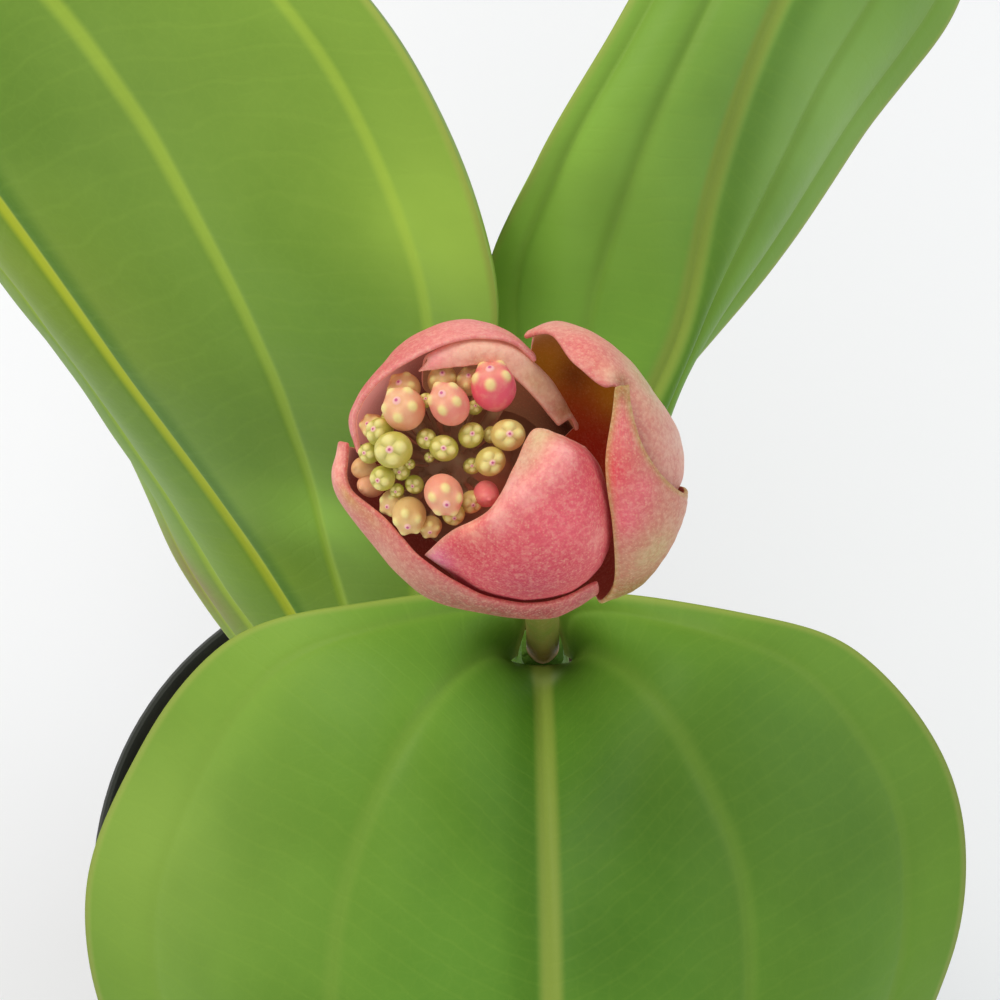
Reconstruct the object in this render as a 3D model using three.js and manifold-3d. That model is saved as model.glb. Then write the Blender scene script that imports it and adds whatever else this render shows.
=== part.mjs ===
// A young potted medinilla: nursery pot, soil, a winged stem with two pairs of leaves,
// and an opening flower bud of pink bracts round a head of small flower buds.
// Millimetres, +Z up, origin at the middle of the pot's flat bottom.
import * as THREE from 'three';
import { mergeVertices } from 'three/addons/utils/BufferGeometryUtils.js';
import Module from 'manifold-3d';

const wasm = await Module();
wasm.setup();

// ---- driving dimensions ----
const gap = 0.3; // clearance between pieces that touch

const potHeight = 115;
const potRimRadius = 65.8;
const potRimDepth = 9; // height of the rolled band at the top
const potRimStep = 2; // how far the band stands out from the wall
const potFootRadius = 45;
const potWall = 1.4;
const potFloor = 2;
const drainHoles = 8;
const drainRadius = 4;
const drainCircle = 32;

const soilTop = 103;
const soilRelief = 1.6;
const plantingDepth = 28; // how deep the stem stands in the soil

const lowNode = [1.6, 0.3, 147];
const topNode = [23.5, 3.3, 285];
const stemTop = 288.4;
const stemRadius = 4.4; // at the soil, over the four wings
const stemTopRadius = 3.5;
const nodeSwelling = 1.35;
const stalkRadius = 2.3;

const bladeThickness = 0.9;
const midribDepth = 2.2; // how far the midrib stands below the blade at the leaf's base
const veinDepth = 0.5;
const quiltHeight = 0.9; // how far the blade rises between two veins
const innerVein = 0.45; // places of the curved veins, from midrib to margin
const outerVein = 0.85;

const budCentre = [18.2, 4.8, 369.5];
const budTilt = THREE.MathUtils.degToRad(17); // the bud leans to the front
const bractThickness = 0.75;
const receptacleRadius = 2.7;

// ---- materials ----
const finish = (colour, roughness) =>
  new THREE.MeshStandardMaterial({ color: colour, roughness, metalness: 0 });

const potBlack = finish(0x1c1f1b, 0.55);
const soilBrown = finish(0x3a2a1e, 0.95);
const stemBrown = finish(0x7d7a48, 0.7);
const stalkPink = finish(0x9a7752, 0.6);
const leafGreen = finish(0x62873a, 0.4);
const leafLight = finish(0x86a94a, 0.4);
const bractPink = finish(0xd87a74, 0.6);
const bractBeige = finish(0xdca78a, 0.6);
const budGreen = finish(0xc9b978, 0.5);

const medinilla = new THREE.Group();
const flower = new THREE.Group();
flower.position.set(...budCentre);
flower.rotation.x = budTilt;
medinilla.add(flower);

function place(parent, name, geometry, material) {
  const mesh = new THREE.Mesh(geometry, material);
  mesh.name = name;
  parent.add(mesh);
}

// ---- geometry helpers ----
const vector = (point) => new THREE.Vector3(...point);
const mix = (a, b, share) => a.map((value, axis) => value + (b[axis] - value) * share);
const plus = (a, b, scale = 1) => a.map((value, axis) => value + b[axis] * scale);

// Keeps positions only, welds shared corners and drops triangles that have no area.
function weld(geometry) {
  geometry.deleteAttribute('normal');
  geometry.deleteAttribute('uv');
  const welded = mergeVertices(geometry, 1e-4);
  const index = [];
  for (let i = 0; i < welded.index.count; i += 3) {
    const [a, b, c] = [0, 1, 2].map((corner) => welded.index.getX(i + corner));
    if (a !== b && b !== c && c !== a) {
      index.push(a, b, c);
    }
  }
  welded.setIndex(index);
  return welded;
}

function toSolid(geometry) {
  const welded = weld(geometry);
  return new wasm.Manifold(new wasm.Mesh({
    numProp: 3,
    vertProperties: new Float32Array(welded.attributes.position.array),
    triVerts: new Uint32Array(welded.index.array),
  }));
}

function toGeometry(solid) {
  const mesh = solid.getMesh();
  const geometry = new THREE.BufferGeometry();
  geometry.setAttribute('position', new THREE.BufferAttribute(mesh.vertProperties, 3));
  geometry.setIndex(new THREE.BufferAttribute(mesh.triVerts, 1));
  return geometry;
}

// A turned solid from [radius, height] pairs that start and end on the axis.
function turned(profile, segments) {
  const geometry = new THREE.LatheGeometry(profile.map(([r, z]) => new THREE.Vector2(r, z)), segments);
  geometry.rotateX(Math.PI / 2);
  return geometry;
}

// Points of a smooth sheet through rows of control points: the first row is the base.
function sheet(rows, rowShares, columnShares) {
  const across = rows.map((row) => new THREE.CatmullRomCurve3(row.map(vector)));
  const columns = columnShares.map((t) => {
    const along = new THREE.CatmullRomCurve3(across.map((curve) => curve.getPoint(t)));
    return rowShares.map((s) => along.getPoint(s));
  });
  return rowShares.map((_, i) => columns.map((column) => column[i]));
}

function sheetNormals(points) {
  const last = points.length - 1;
  const lastColumn = points[0].length - 1;
  return points.map((row, i) => row.map((_, j) => {
    const along = points[Math.min(i + 1, last)][j].clone().sub(points[Math.max(i - 1, 0)][j]);
    const across = points[i][Math.min(j + 1, lastColumn)].clone().sub(points[i][Math.max(j - 1, 0)]);
    return across.cross(along).normalize();
  }));
}

// Closes two sheets of points, with faces split alike, into one thin solid.
function blade(top, bottom) {
  const rows = top.length;
  const columns = top[0].length;
  const positions = [...top.flat(), ...bottom.flat()].flatMap((p) => [p.x, p.y, p.z]);
  const upper = (i, j) => i * columns + j;
  const lower = (i, j) => rows * columns + i * columns + j;
  const index = [];
  const quad = (a, b, c, d) => index.push(a, b, c, a, c, d);
  for (let i = 0; i < rows - 1; i += 1) {
    for (let j = 0; j < columns - 1; j += 1) {
      quad(upper(i, j), upper(i, j + 1), upper(i + 1, j + 1), upper(i + 1, j));
      index.push(lower(i, j), lower(i + 1, j + 1), lower(i, j + 1));
      index.push(lower(i, j), lower(i + 1, j), lower(i + 1, j + 1));
    }
    quad(upper(i, 0), upper(i + 1, 0), lower(i + 1, 0), lower(i, 0));
    const side = columns - 1;
    quad(upper(i + 1, side), upper(i, side), lower(i, side), lower(i + 1, side));
  }
  for (let j = 0; j < columns - 1; j += 1) {
    const end = rows - 1;
    quad(upper(0, j + 1), upper(0, j), lower(0, j), lower(0, j + 1));
    quad(upper(end, j), upper(end, j + 1), lower(end, j + 1), lower(end, j));
  }
  const geometry = new THREE.BufferGeometry();
  geometry.setAttribute('position', new THREE.Float32BufferAttribute(positions, 3));
  geometry.setIndex(index);
  return geometry;
}

const shares = (count) => Array.from({ length: count + 1 }, (_, i) => i / count);

// A shell of even thickness under a sheet of control rows.
function shell(rows, rowCount, columnCount, thickness) {
  const outer = sheet(rows, shares(rowCount), shares(columnCount));
  const normals = sheetNormals(outer);
  const inner = outer.map((row, i) =>
    row.map((p, j) => p.clone().addScaledVector(normals[i][j], -thickness)));
  return blade(outer, inner);
}

// A closed tube of rings, each ring a list of points.
function loft(rings) {
  const sides = rings[0].length;
  const ends = [rings[0], rings[rings.length - 1]].map((ring) =>
    ring.reduce((sum, p) => sum.add(p), new THREE.Vector3()).divideScalar(sides));
  const positions = [...rings.flat(), ...ends].flatMap((p) => [p.x, p.y, p.z]);
  const index = [];
  const first = rings.length * sides;
  for (let i = 0; i < rings.length - 1; i += 1) {
    for (let j = 0; j < sides; j += 1) {
      const next = (j + 1) % sides;
      const [a, b] = [i * sides + j, i * sides + next];
      index.push(a, b, b + sides, a, b + sides, a + sides);
    }
  }
  for (let j = 0; j < sides; j += 1) {
    const next = (j + 1) % sides;
    const top = (rings.length - 1) * sides;
    index.push(first, next, j, first + 1, top + j, top + next);
  }
  const geometry = new THREE.BufferGeometry();
  geometry.setAttribute('position', new THREE.Float32BufferAttribute(positions, 3));
  geometry.setIndex(index);
  return geometry;
}

// Level rings along a standing path, with the radius as a rule of place and angle.
function standingTube(path, ringShares, sides, radiusAt) {
  const curve = new THREE.CatmullRomCurve3(path.map(vector));
  return loft(ringShares.map((share) => {
    const centre = curve.getPoint(share);
    return Array.from({ length: sides }, (_, j) => {
      const angle = (j / sides) * 2 * Math.PI;
      const radius = radiusAt(share, angle, centre);
      return new THREE.Vector3(
        centre.x + radius * Math.cos(angle),
        centre.y + radius * Math.sin(angle),
        centre.z,
      );
    });
  }));
}

// ---- pot and soil ----
const potTaper = (potRimRadius - potRimStep - potFootRadius) / potHeight;
const wallRadius = (z) => potFootRadius + potTaper * z;

function buildPot() {
  const rimFoot = potHeight - potRimDepth;
  const outside = turned([
    [0, 0],
    [potFootRadius - 1.5, 0],
    [wallRadius(1.5), 1.5],
    [wallRadius(rimFoot), rimFoot],
    [potRimRadius - 0.6, rimFoot + 0.6],
    [potRimRadius, rimFoot + 1.6],
    [potRimRadius, potHeight - 1.2],
    [potRimRadius - 1, potHeight],
    [potRimRadius - potRimStep - 0.4, potHeight],
    [wallRadius(rimFoot) - potWall, rimFoot],
    [wallRadius(potFloor) - potWall, potFloor],
    [0, potFloor],
  ], 40);
  let pot = toSolid(outside);
  for (let i = 0; i < drainHoles; i += 1) {
    const angle = (i / drainHoles) * 2 * Math.PI;
    const hole = new THREE.CylinderGeometry(drainRadius, drainRadius, potFloor * 4, 10);
    hole.rotateX(Math.PI / 2);
    hole.translate(drainCircle * Math.cos(angle), drainCircle * Math.sin(angle), 0);
    pot = pot.subtract(toSolid(hole));
  }
  return toGeometry(pot);
}

function buildSoil() {
  const inside = (z) => wallRadius(z) - potWall - gap;
  const holeRadius = stemRadius * 1.15 + gap;
  const holeFloor = soilTop - plantingDepth;
  const ringRadii = [52, 44, 36, 28, 20, 13];
  const profile = [
    [0, potFloor + gap],
    [inside(potFloor + gap), potFloor + gap],
    [inside(soilTop - 2), soilTop - 2],
    [inside(soilTop - 2) - 2, soilTop],
    ...ringRadii.map((radius) => [radius, soilTop]),
    [holeRadius, soilTop],
    [holeRadius, holeFloor],
    [0, holeFloor],
  ];
  const geometry = weld(turned(profile, 36));
  const position = geometry.attributes.position;
  for (let i = 0; i < position.count; i += 1) {
    const [x, y, z] = [position.getX(i), position.getY(i), position.getZ(i)];
    const radius = Math.hypot(x, y);
    if (z > soilTop - 1 && radius > holeRadius + 1) {
      const lumps = Math.sin(x * 0.31 + 1) * Math.cos(y * 0.27) + 0.6 * Math.sin(x * 0.8 - y * 0.7);
      const mound = 3 * Math.exp(-((radius / 22) ** 2));
      position.setZ(i, z + lumps * soilRelief * 0.6 + mound);
    }
  }
  return geometry;
}

// ---- stem and flower stalk ----
const stemPath = [
  [0, 0, soilTop - plantingDepth + gap],
  [0, 0, 104],
  lowNode,
  [9.5, 1.4, 196],
  [17.2, 2.5, 243],
  topNode,
  [23.8, 3.4, stemTop],
];

// A four-winged stem that swells into a ring at each pair of leaves.
function stemRadiusAt(share, angle, centre) {
  const plain = THREE.MathUtils.lerp(stemRadius, stemTopRadius, centre.z / stemTop);
  const wings = 1 - 0.16 * (0.5 - 0.5 * Math.cos(4 * (angle - Math.PI / 4)));
  const swelling = [lowNode, topNode]
    .map((node) => Math.exp(-(((centre.z - node[2] + 3) / 3.5) ** 2)))
    .reduce((sum, value) => sum + value, 0);
  return plain * (wings + (nodeSwelling - wings) * Math.min(1, swelling));
}

const stemRings = [0, 0.08, 0.16, 0.24, 0.29, 0.315, 0.333, 0.36, 0.42, 0.5, 0.58, 0.66, 0.74,
  0.79, 0.815, 0.833, 0.87, 0.93, 1];

const stalkPath = [
  [23.8, 3.4, stemTop + gap],
  [23.4, 3.8, 306],
  [21.4, 4.6, 328],
  [18.6, 5, 346],
  [18.2, 4.6, 353],
  [18.2, 2.6, 359.5],
];

const stalkRadiusAt = (share) =>
  THREE.MathUtils.lerp(stalkRadius, receptacleRadius, THREE.MathUtils.smoothstep(share, 0.5, 0.8));

// ---- leaves ----
const ribShares = [0, 0.05, 0.25, innerVein, 0.65, outerVein, 1];
const leafColumns = [...ribShares.slice(1).reverse().map((t) => -t), ...ribShares];
const leafRows = 16;
const ribRise = 4; // rows over which the midrib grows out of the leaf's base
const lobeShares = [0.45, 1, 0.3]; // how much of the swelling each row of a lobed base takes

// Height of the blade between its veins, from midrib (0) to margin (1).
function quilt(place) {
  const veins = [0, innerVein, outerVein, 1.15];
  const before = veins.filter((vein) => vein <= place).pop();
  const after = veins.find((vein) => vein > place);
  return Math.sin((Math.PI * (place - before)) / (after - before));
}

// A leaf from its midrib and its two margins, base to tip, each with the same number of points.
// Each half arches away from the straight line between midrib and margin. A base with lobes
// swells sideways, so that its two lobes close round the stalk.
function buildLeaf({ midrib, left, right, archLeft, archRight, lobe = [0, 0, 0] }) {
  const rows = midrib.map((middle, k) => {
    const share = Math.sin((Math.PI * k) / (midrib.length - 1));
    const swelling = lobeShares[k] ?? 0;
    const leftHalf = plus(mix(left[k], middle, 0.5), archLeft, share);
    const rightHalf = plus(mix(middle, right[k], 0.5), archRight, share);
    return [
      left[k],
      plus(leftHalf, lobe, swelling),
      middle,
      plus(rightHalf, lobe, -swelling),
      right[k],
    ];
  });
  const flat = sheet(rows, shares(leafRows), leafColumns.map((t) => 0.5 + t / 2));
  const normals = sheetNormals(flat);
  normals[leafRows].fill(normals[leafRows - 1][(leafColumns.length - 1) / 2]);
  const top = flat.map((row, i) => row.map((p, j) => {
    const fade = Math.sin((Math.PI * (i + 0.5)) / (leafRows + 1));
    return p.clone().addScaledVector(normals[i][j], quiltHeight * fade * quilt(Math.abs(leafColumns[j])));
  }));
  const bottom = top.map((row, i) => row.map((p, j) => {
    const place = Math.abs(leafColumns[j]);
    const taper = 1 - i / leafRows;
    const onVein = place === innerVein || place === outerVein;
    const rising = Math.min(1, (i + 1) / ribRise);
    const rib = place === 0 ? midribDepth * rising * taper : Number(onVein) * veinDepth * taper;
    return p.clone().addScaledVector(normals[i][j], -bladeThickness - rib);
  }));
  return blade(top, bottom);
}

const frontLeaf = {
  midrib: [
    [23.7, 0.6, 289.6], [23.8, -7, 297], [23.9, -17, 306], [24.1, -31, 312], [24.3, -47, 314.5],
    [24.5, -66, 312], [24.8, -86, 302], [25, -104, 285], [25.2, -121, 258],
  ],
  left: [
    [26.9, 2, 290.2], [26.3, 8.2, 297.5], [50, 3, 309.5], [66.3, -0.9, 305], [80.7, -16.5, 294],
    [82.3, -36, 286], [69, -65, 273], [46, -95, 267], [26.7, -120.6, 258],
  ],
  right: [
    [20.2, 1.9, 290.2], [20.9, 8.2, 297.5], [-2, 4.4, 309], [-20, 0, 305.5], [-36.4, -19.7, 293],
    [-40.8, -37, 285.5], [-30, -66, 272], [-2, -96, 266], [23.7, -120.6, 258],
  ],
  archLeft: [0, 0, 6],
  archRight: [0, 0, 6],
  lobe: [6, 0, 0],
};

const upperRightLeaf = {
  midrib: [
    [25.8, 8.3, 287], [30, 18, 298], [36.5, 30, 308], [42.6, 41.6, 318], [46.5, 58, 329],
    [51.5, 72, 337], [60, 90, 341], [70, 109, 338], [80, 128, 326],
  ],
  left: [
    [22.6, 9, 287.5], [18.8, 20, 291], [18, 36, 294], [16, 54, 303.5], [22.8, 62, 330.5],
    [32, 75.5, 338], [43, 95, 339], [58, 116, 335], [79, 128.8, 326],
  ],
  right: [
    [28.6, 6.4, 286.5], [33.5, 14, 288], [37.8, 26, 291], [41.5, 38.8, 298], [56, 55.6, 305],
    [69.6, 75, 309], [85, 97, 308], [90, 116, 312], [81, 127.4, 326],
  ],
  archLeft: [0, 0, 3],
  archRight: [2, -1, 4],
};

const leftLeaf = {
  midrib: [
    [-2.4, 5.1, 150], [-11.8, 20.6, 180], [-20, 31.7, 205], [-28.5, 40.5, 232], [-41.6, 53.2, 263],
    [-57.2, 69.8, 296], [-71, 84.5, 316], [-86, 99.5, 327], [-100, 112, 330],
  ],
  left: [
    [-4.6, 3.2, 150], [-22.5, 23, 160], [-40.7, 44.9, 178], [-48.5, 60.6, 196], [-54.5, 70.6, 211],
    [-68.5, 84, 236], [-83, 100, 266], [-94, 111, 298], [-101, 112.4, 327.6],
  ],
  right: [
    [0.6, 6.2, 151], [6, 20, 196], [9.4, 31, 240], [15.4, 40, 286], [16.6, 50.6, 323],
    [4.1, 75.6, 339], [-18, 97, 344], [-54, 113, 342], [-98.4, 113, 332],
  ],
  archLeft: [-3, -2, 5],
  archRight: [-6, 3, 6],
};

// The leaf opposite the left one, spread out level below the front leaf.
const lowerLeafMidrib = [
  [4.6, -4.8, 148], [12.5, -18, 158], [23.5, -35.5, 172], [35, -54, 186], [47, -73, 197],
  [59.5, -93, 203], [71.5, -112, 203], [82.5, -130, 196], [92, -145, 182],
];
const lowerLeafHalfWidth = [2.6, 22, 41, 54, 59, 57, 46, 27, 1];
const lowerLeafSetBack = [0, 16, 19, 16, 11, 7, 4, 2, 0];
const lowerLeafSink = [0, -5, -2, 4, 10, 14, 14, 9, 0];
const lowerLeafSide = [0.848, 0.53, 0];
const lowerLeafOut = [0.53, -0.848, 0];

const lowerLeafMargin = (side) => lowerLeafMidrib.map((middle, k) => {
  const beside = plus(middle, lowerLeafSide, side * lowerLeafHalfWidth[k]);
  const behind = plus(beside, lowerLeafOut, -lowerLeafSetBack[k]);
  return plus(behind, [0, 0, -1], lowerLeafSink[k]);
});

const lowerRightLeaf = {
  midrib: lowerLeafMidrib,
  left: lowerLeafMargin(1),
  right: lowerLeafMargin(-1),
  archLeft: [0, 0, 6],
  archRight: [0, 0, 6],
};

// ---- bracts, in the bud's own frame: x right, y back, z out of the opening ----
// Every bract rises from the receptacle; its belly is its widest line, its rim the free edge.
const outerBase = { centre: [0, -5, -16.6], reach: 4.4 };
const innerBase = { centre: [0, -4, -13.4], reach: 4.2 };
const outermostBase = { centre: [0, -5, -18.2], reach: 5.8 };

function bractRows(base, belly, upperRows, lowShare = 0.62, lowDrop = 0.7) {
  const [cx, cy, cz] = base.centre;
  const foot = belly.map(([x, y]) => {
    const length = Math.hypot(x - cx, y - cy);
    return [cx + ((x - cx) / length) * base.reach, cy + ((y - cy) / length) * base.reach, cz];
  });
  const low = belly.map(([x, y, z]) =>
    [cx + (x - cx) * lowShare, cy * 0.8 + (y - cy * 0.8) * lowShare, cz + (z - cz) * (1 - lowDrop)]);
  const side = belly.map(([x, y, z]) =>
    [cx + (x - cx) * 0.92, cy * 0.4 + (y - cy * 0.4) * 0.92, cz + (z - cz) * 0.66]);
  return [foot, low, side, belly, ...upperRows];
}

const lowerLeftBract = bractRows(outerBase, [
  [-19, 3, 0], [-20.2, -1.6, 1], [-14.9, -9.5, 2], [-9, -15, 2], [0, -17.2, 1], [6, -17.3, 0],
  [11.1, -14.6, -1],
], [
  [[-19.4, 3.4, 4.2], [-19.7, -1.2, 5.2], [-14.9, -7, 7], [-10.5, -11.9, 7.5], [-1.6, -16.3, 5],
    [5.4, -16.7, 3], [11.1, -13.8, 2]],
  [[-18.4, 3.2, 5.8], [-18.2, -2, 6.8], [-13.7, -6, 9], [-9.8, -10.3, 10], [-2, -14.9, 7.2],
    [5, -15.6, 4.8], [10.9, -13.2, 3.4]],
]);

const upperLeftBract = bractRows(outerBase, [
  [-17, 3, 1], [-17.2, 6.4, 2], [-14.3, 10.9, 2], [-11, 14.5, 2], [-5.4, 16.8, 2], [-0.9, 16, 1],
  [2.5, 13.4, 0],
], [
  [[-16.9, 2.6, 4.4], [-17.3, 6.2, 5.5], [-14.4, 10.8, 6.5], [-10.6, 14.2, 7], [-5, 16.3, 6.5],
    [-0.5, 15.5, 5.5], [3.2, 13, 4.4]],
  [[-16.6, 1.8, 6.4], [-16.9, 6.1, 8], [-14.5, 9.6, 10.2], [-10.1, 12.5, 11.4], [-4.8, 14.5, 11.6],
    [0.4, 14.4, 10.6], [3.3, 12.2, 8.6]],
]);

const upperInnerBract = bractRows(innerBase, [
  [-9.6, 9.6, 1], [-5, 11.6, 1], [-1, 11.8, 0], [4.2, 9.8, -0.5], [8.2, 5, -1],
], [
  [[-9.2, 12.3, 8.6], [-4.8, 14.1, 8.8], [-0.6, 13.9, 8], [4, 10.8, 5.6], [8.2, 4.6, 3.4]],
  [[-8.8, 12.6, 10.1], [-4, 13.9, 10.6], [0, 13.5, 9.9], [3.4, 10.8, 8], [7.4, 5.8, 5.6]],
  [[-10, 11.3, 9.5], [-5, 11.8, 10], [-1.6, 11.9, 10], [1.4, 10, 9.2], [6, 5, 6.6]],
], 0.66, 0.68);

const upperRightBract = bractRows(outerBase, [
  [3.4, 16, -1], [5.9, 16.7, 0], [10.6, 15, 2], [14.2, 12, 3], [17.2, 8, 3], [19.6, 4, 3],
  [20.1, 0, 3], [18.9, -3.6, 2.6],
], [
  [[2.7, 15.8, 2], [5.8, 16.3, 5], [9.5, 14.2, 9.6], [12, 11.5, 11.4], [14.4, 9, 10.8],
    [16.8, 4.8, 9.8], [17.6, 0.6, 8.6], [17, -3.4, 7.6]],
  [[2.3, 15.1, 4.4], [5, 15.4, 7.4], [7.6, 12, 12.2], [11, 9.2, 13.4], [12.6, 9.2, 12.2],
    [14.2, 4.2, 11.8], [15, -0.2, 10.6], [14.6, -3.6, 9.2]],
]);

const lowerRightBract = bractRows(outermostBase, [
  [11.4, -15.8, -2], [15.6, -14, -1.5], [19.2, -9.6, 0.6], [21, -5, 2], [21.2, -2, 1],
], [
  [[12.6, -13.4, 3], [15.2, -11.4, 6], [18.4, -7.6, 7.4], [20.4, -4.2, 6.8], [21, -2.8, 5.4]],
  [[12.2, -6.8, 10.4], [13.8, -5.6, 11.5], [16.2, -3.9, 11.5], [18.1, -2.2, 10.5], [18.9, -1.6, 9.7]],
  [[11.2, 0.6, 13.6], [12.4, 0.8, 14.4], [13.9, 1.1, 14.5], [15.3, 1.6, 13.9], [15.9, 2, 13.3]],
  [[12, 6.4, 14.2], [12.6, 6.5, 14.5], [13.2, 6.6, 14.6], [13.8, 6.7, 14.5], [14.3, 6.8, 14.2]],
  [[12.3, 9.2, 14.6], [12.7, 9.3, 14.8], [13.1, 9.4, 14.9], [13.5, 9.4, 14.8], [13.9, 9.5, 14.6]],
]);

const frontBract = bractRows(innerBase, [
  [-5.6, -13.5, 1], [-1.7, -14.8, 1], [3.4, -15.3, 1], [8.2, -14, 1], [11.2, -11.2, 2], [12.4, -7.6, 2],
  [12.4, -4, 2],
], [
  [[-6.6, -12, 6.6], [-2.6, -13, 9.4], [2.6, -13.1, 11.4], [7.2, -11.3, 12], [10.3, -8.2, 12],
    [11.7, -5, 10.4], [11.8, -2.2, 8]],
  [[-8.4, -10.6, 8.8], [-5, -8, 13.4], [-1, -5.4, 16.4], [3.6, -1.6, 17.8], [6.6, 1.6, 17],
    [9, 1.4, 14.6], [10.8, 0.4, 10.8]],
  [[-9.4, -9.9, 8.8], [-6.2, -7, 12.6], [-2, -4.6, 14.2], [0.9, 0.4, 14.8], [3.2, 4.6, 14.6],
    [6, 4, 14.2], [9, 2.6, 11.4]],
], 0.66, 0.68);

// ---- flower head: a core and stalked buds round it, in the bud's frame ----
const headCentre = [-6.4, 0.4, -3.4];
const headRadii = [8.4, 6.4, 8];

// Each bud: its middle, its radius, and how far its tip leans right and back.
const flowerBuds = [
  [-1.3, 9.2, 10.4, 2.5, -0.1, 0.6], [-6.3, 7.3, 11.5, 2.4, -0.2, 0.4], [-11.5, 6.8, 10.5, 2.4, -0.3, 0.3],
  [-7.2, 10.2, 7.4, 1.8, 0, 0.4], [-4.2, 10, 7.6, 1.6, 0, 0.4], [-11.6, 9, 7, 1.8, -0.3, 0.4],
  [-15.1, 4.9, 6.2, 1.6, -0.4, 0.2], [-14.3, 4.3, 9, 1.6, -0.5, 0.2], [-12.7, 2.2, 11.5, 2.1, -0.2, 0],
  [-15.6, 1.9, 7.4, 1.2, -0.5, 0], [-14, -1, 9.4, 1.5, -0.4, -0.2], [-11.9, -0.2, 8.5, 1.1, -0.2, -0.1],
  [-10.4, -1.7, 8.5, 1.1, -0.2, -0.2], [-9, 3.5, 9.5, 1.2, 0, 0], [-7, 2.4, 10.5, 1.6, 0, 0],
  [-3.9, 3.9, 10, 1.5, 0.1, 0.1], [-1.6, 4, 8.5, 1, 0.2, 0.1], [0.3, 3.9, 10.9, 1.9, 0.2, 0.1],
  [-1.7, 0.9, 11, 1.7, 0.1, 0], [-3.8, 0.4, 9, 1, 0, 0], [-7, -2.8, 12, 2.3, 0.1, -0.4],
  [-11, -5.1, 9, 2, 0, -0.4], [-12.9, -3.8, 7.2, 1.5, -0.4, -0.3], [-15.4, -1.7, 4.4, 1.6, -0.6, -0.2],
  [-16.3, 0.2, 4.6, 1.4, -0.6, 0], [-5.9, -5.1, 10, 1.3, 0.1, -0.4], [-3.9, -3.7, 9, 1.3, 0.2, -0.3],
  [-8.6, -6.5, 8, 1.3, 0, -0.5], [-9.1, 7.9, 9, 0.9, 0, 0.2], [-3.5, 7.1, 8.5, 0.9, 0.1, 0.2],
  [-2.2, -2.8, 9.4, 1.5, 0.2, -0.3],
];

function ball(centre, radius, lengthening, direction) {
  const geometry = new THREE.SphereGeometry(radius, 6, 4);
  geometry.scale(1, lengthening, 1);
  const turn = new THREE.Quaternion().setFromUnitVectors(new THREE.Vector3(0, 1, 0), direction);
  geometry.applyQuaternion(turn);
  geometry.translate(...centre);
  return geometry;
}

function budStalk(centre, radius, direction) {
  const root = mix(centre, headCentre, 0.75);
  const run = vector(root).sub(vector(centre));
  const geometry = new THREE.CylinderGeometry(radius * 0.45, radius * 0.55, run.length(), 4);
  const turn = new THREE.Quaternion().setFromUnitVectors(new THREE.Vector3(0, 1, 0), run.clone().normalize());
  geometry.applyQuaternion(turn);
  geometry.translate(...mix(centre, root, 0.5));
  return geometry;
}

function buildHead() {
  const core = new THREE.SphereGeometry(1, 10, 7);
  core.scale(...headRadii);
  core.translate(...headCentre);
  let head = toSolid(core);
  for (const [x, y, z, radius, leanX, leanY] of flowerBuds) {
    const direction = new THREE.Vector3(leanX, leanY, 1).normalize();
    head = head.add(toSolid(ball([x, y, z], radius, 1.12, direction)));
    head = head.add(toSolid(budStalk([x, y, z], radius)));
  }
  return toGeometry(head);
}

// ---- the assembly ----
place(medinilla, 'pot', buildPot(), potBlack);
place(medinilla, 'soil', buildSoil(), soilBrown);
place(medinilla, 'stem', standingTube(stemPath, stemRings, 16, stemRadiusAt), stemBrown);
place(medinilla, 'flower_stalk', standingTube(stalkPath, shares(9), 10, stalkRadiusAt), stalkPink);
place(medinilla, 'leaf_front', buildLeaf(frontLeaf), leafGreen);
place(medinilla, 'leaf_upper_right', buildLeaf(upperRightLeaf), leafGreen);
place(medinilla, 'leaf_left', buildLeaf(leftLeaf), leafLight);
place(medinilla, 'leaf_lower_right', buildLeaf(lowerRightLeaf), leafGreen);
place(flower, 'bract_lower_left', shell(lowerLeftBract, 8, 12, bractThickness), bractPink);
place(flower, 'bract_upper_left', shell(upperLeftBract, 8, 12, bractThickness), bractPink);
place(flower, 'bract_upper_right', shell(upperRightBract, 8, 16, bractThickness), bractPink);
place(flower, 'bract_lower_right', shell(lowerRightBract, 14, 6, bractThickness), bractPink);
place(flower, 'bract_front', shell(frontBract, 10, 10, bractThickness), bractPink);
place(flower, 'bract_inner', shell(upperInnerBract, 10, 8, bractThickness), bractBeige);
place(flower, 'flower_buds', buildHead(), budGreen);

export default medinilla;
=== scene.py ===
import math
import random

import bpy
from mathutils import Matrix, Vector, noise


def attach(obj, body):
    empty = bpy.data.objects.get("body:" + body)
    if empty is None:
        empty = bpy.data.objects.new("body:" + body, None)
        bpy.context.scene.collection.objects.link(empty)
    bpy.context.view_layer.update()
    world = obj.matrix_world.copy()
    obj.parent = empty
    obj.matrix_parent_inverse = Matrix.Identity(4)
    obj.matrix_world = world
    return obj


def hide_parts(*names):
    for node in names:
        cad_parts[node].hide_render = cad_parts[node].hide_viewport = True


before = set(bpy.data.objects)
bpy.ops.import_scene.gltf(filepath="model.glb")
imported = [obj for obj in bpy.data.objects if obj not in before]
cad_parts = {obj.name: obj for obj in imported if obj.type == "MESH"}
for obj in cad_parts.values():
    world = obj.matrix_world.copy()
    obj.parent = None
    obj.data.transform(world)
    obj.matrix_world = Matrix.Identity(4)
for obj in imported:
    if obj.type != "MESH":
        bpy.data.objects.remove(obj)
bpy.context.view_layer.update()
mm = 0.001
print("frame loaded:", len(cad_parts), "solids")

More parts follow.
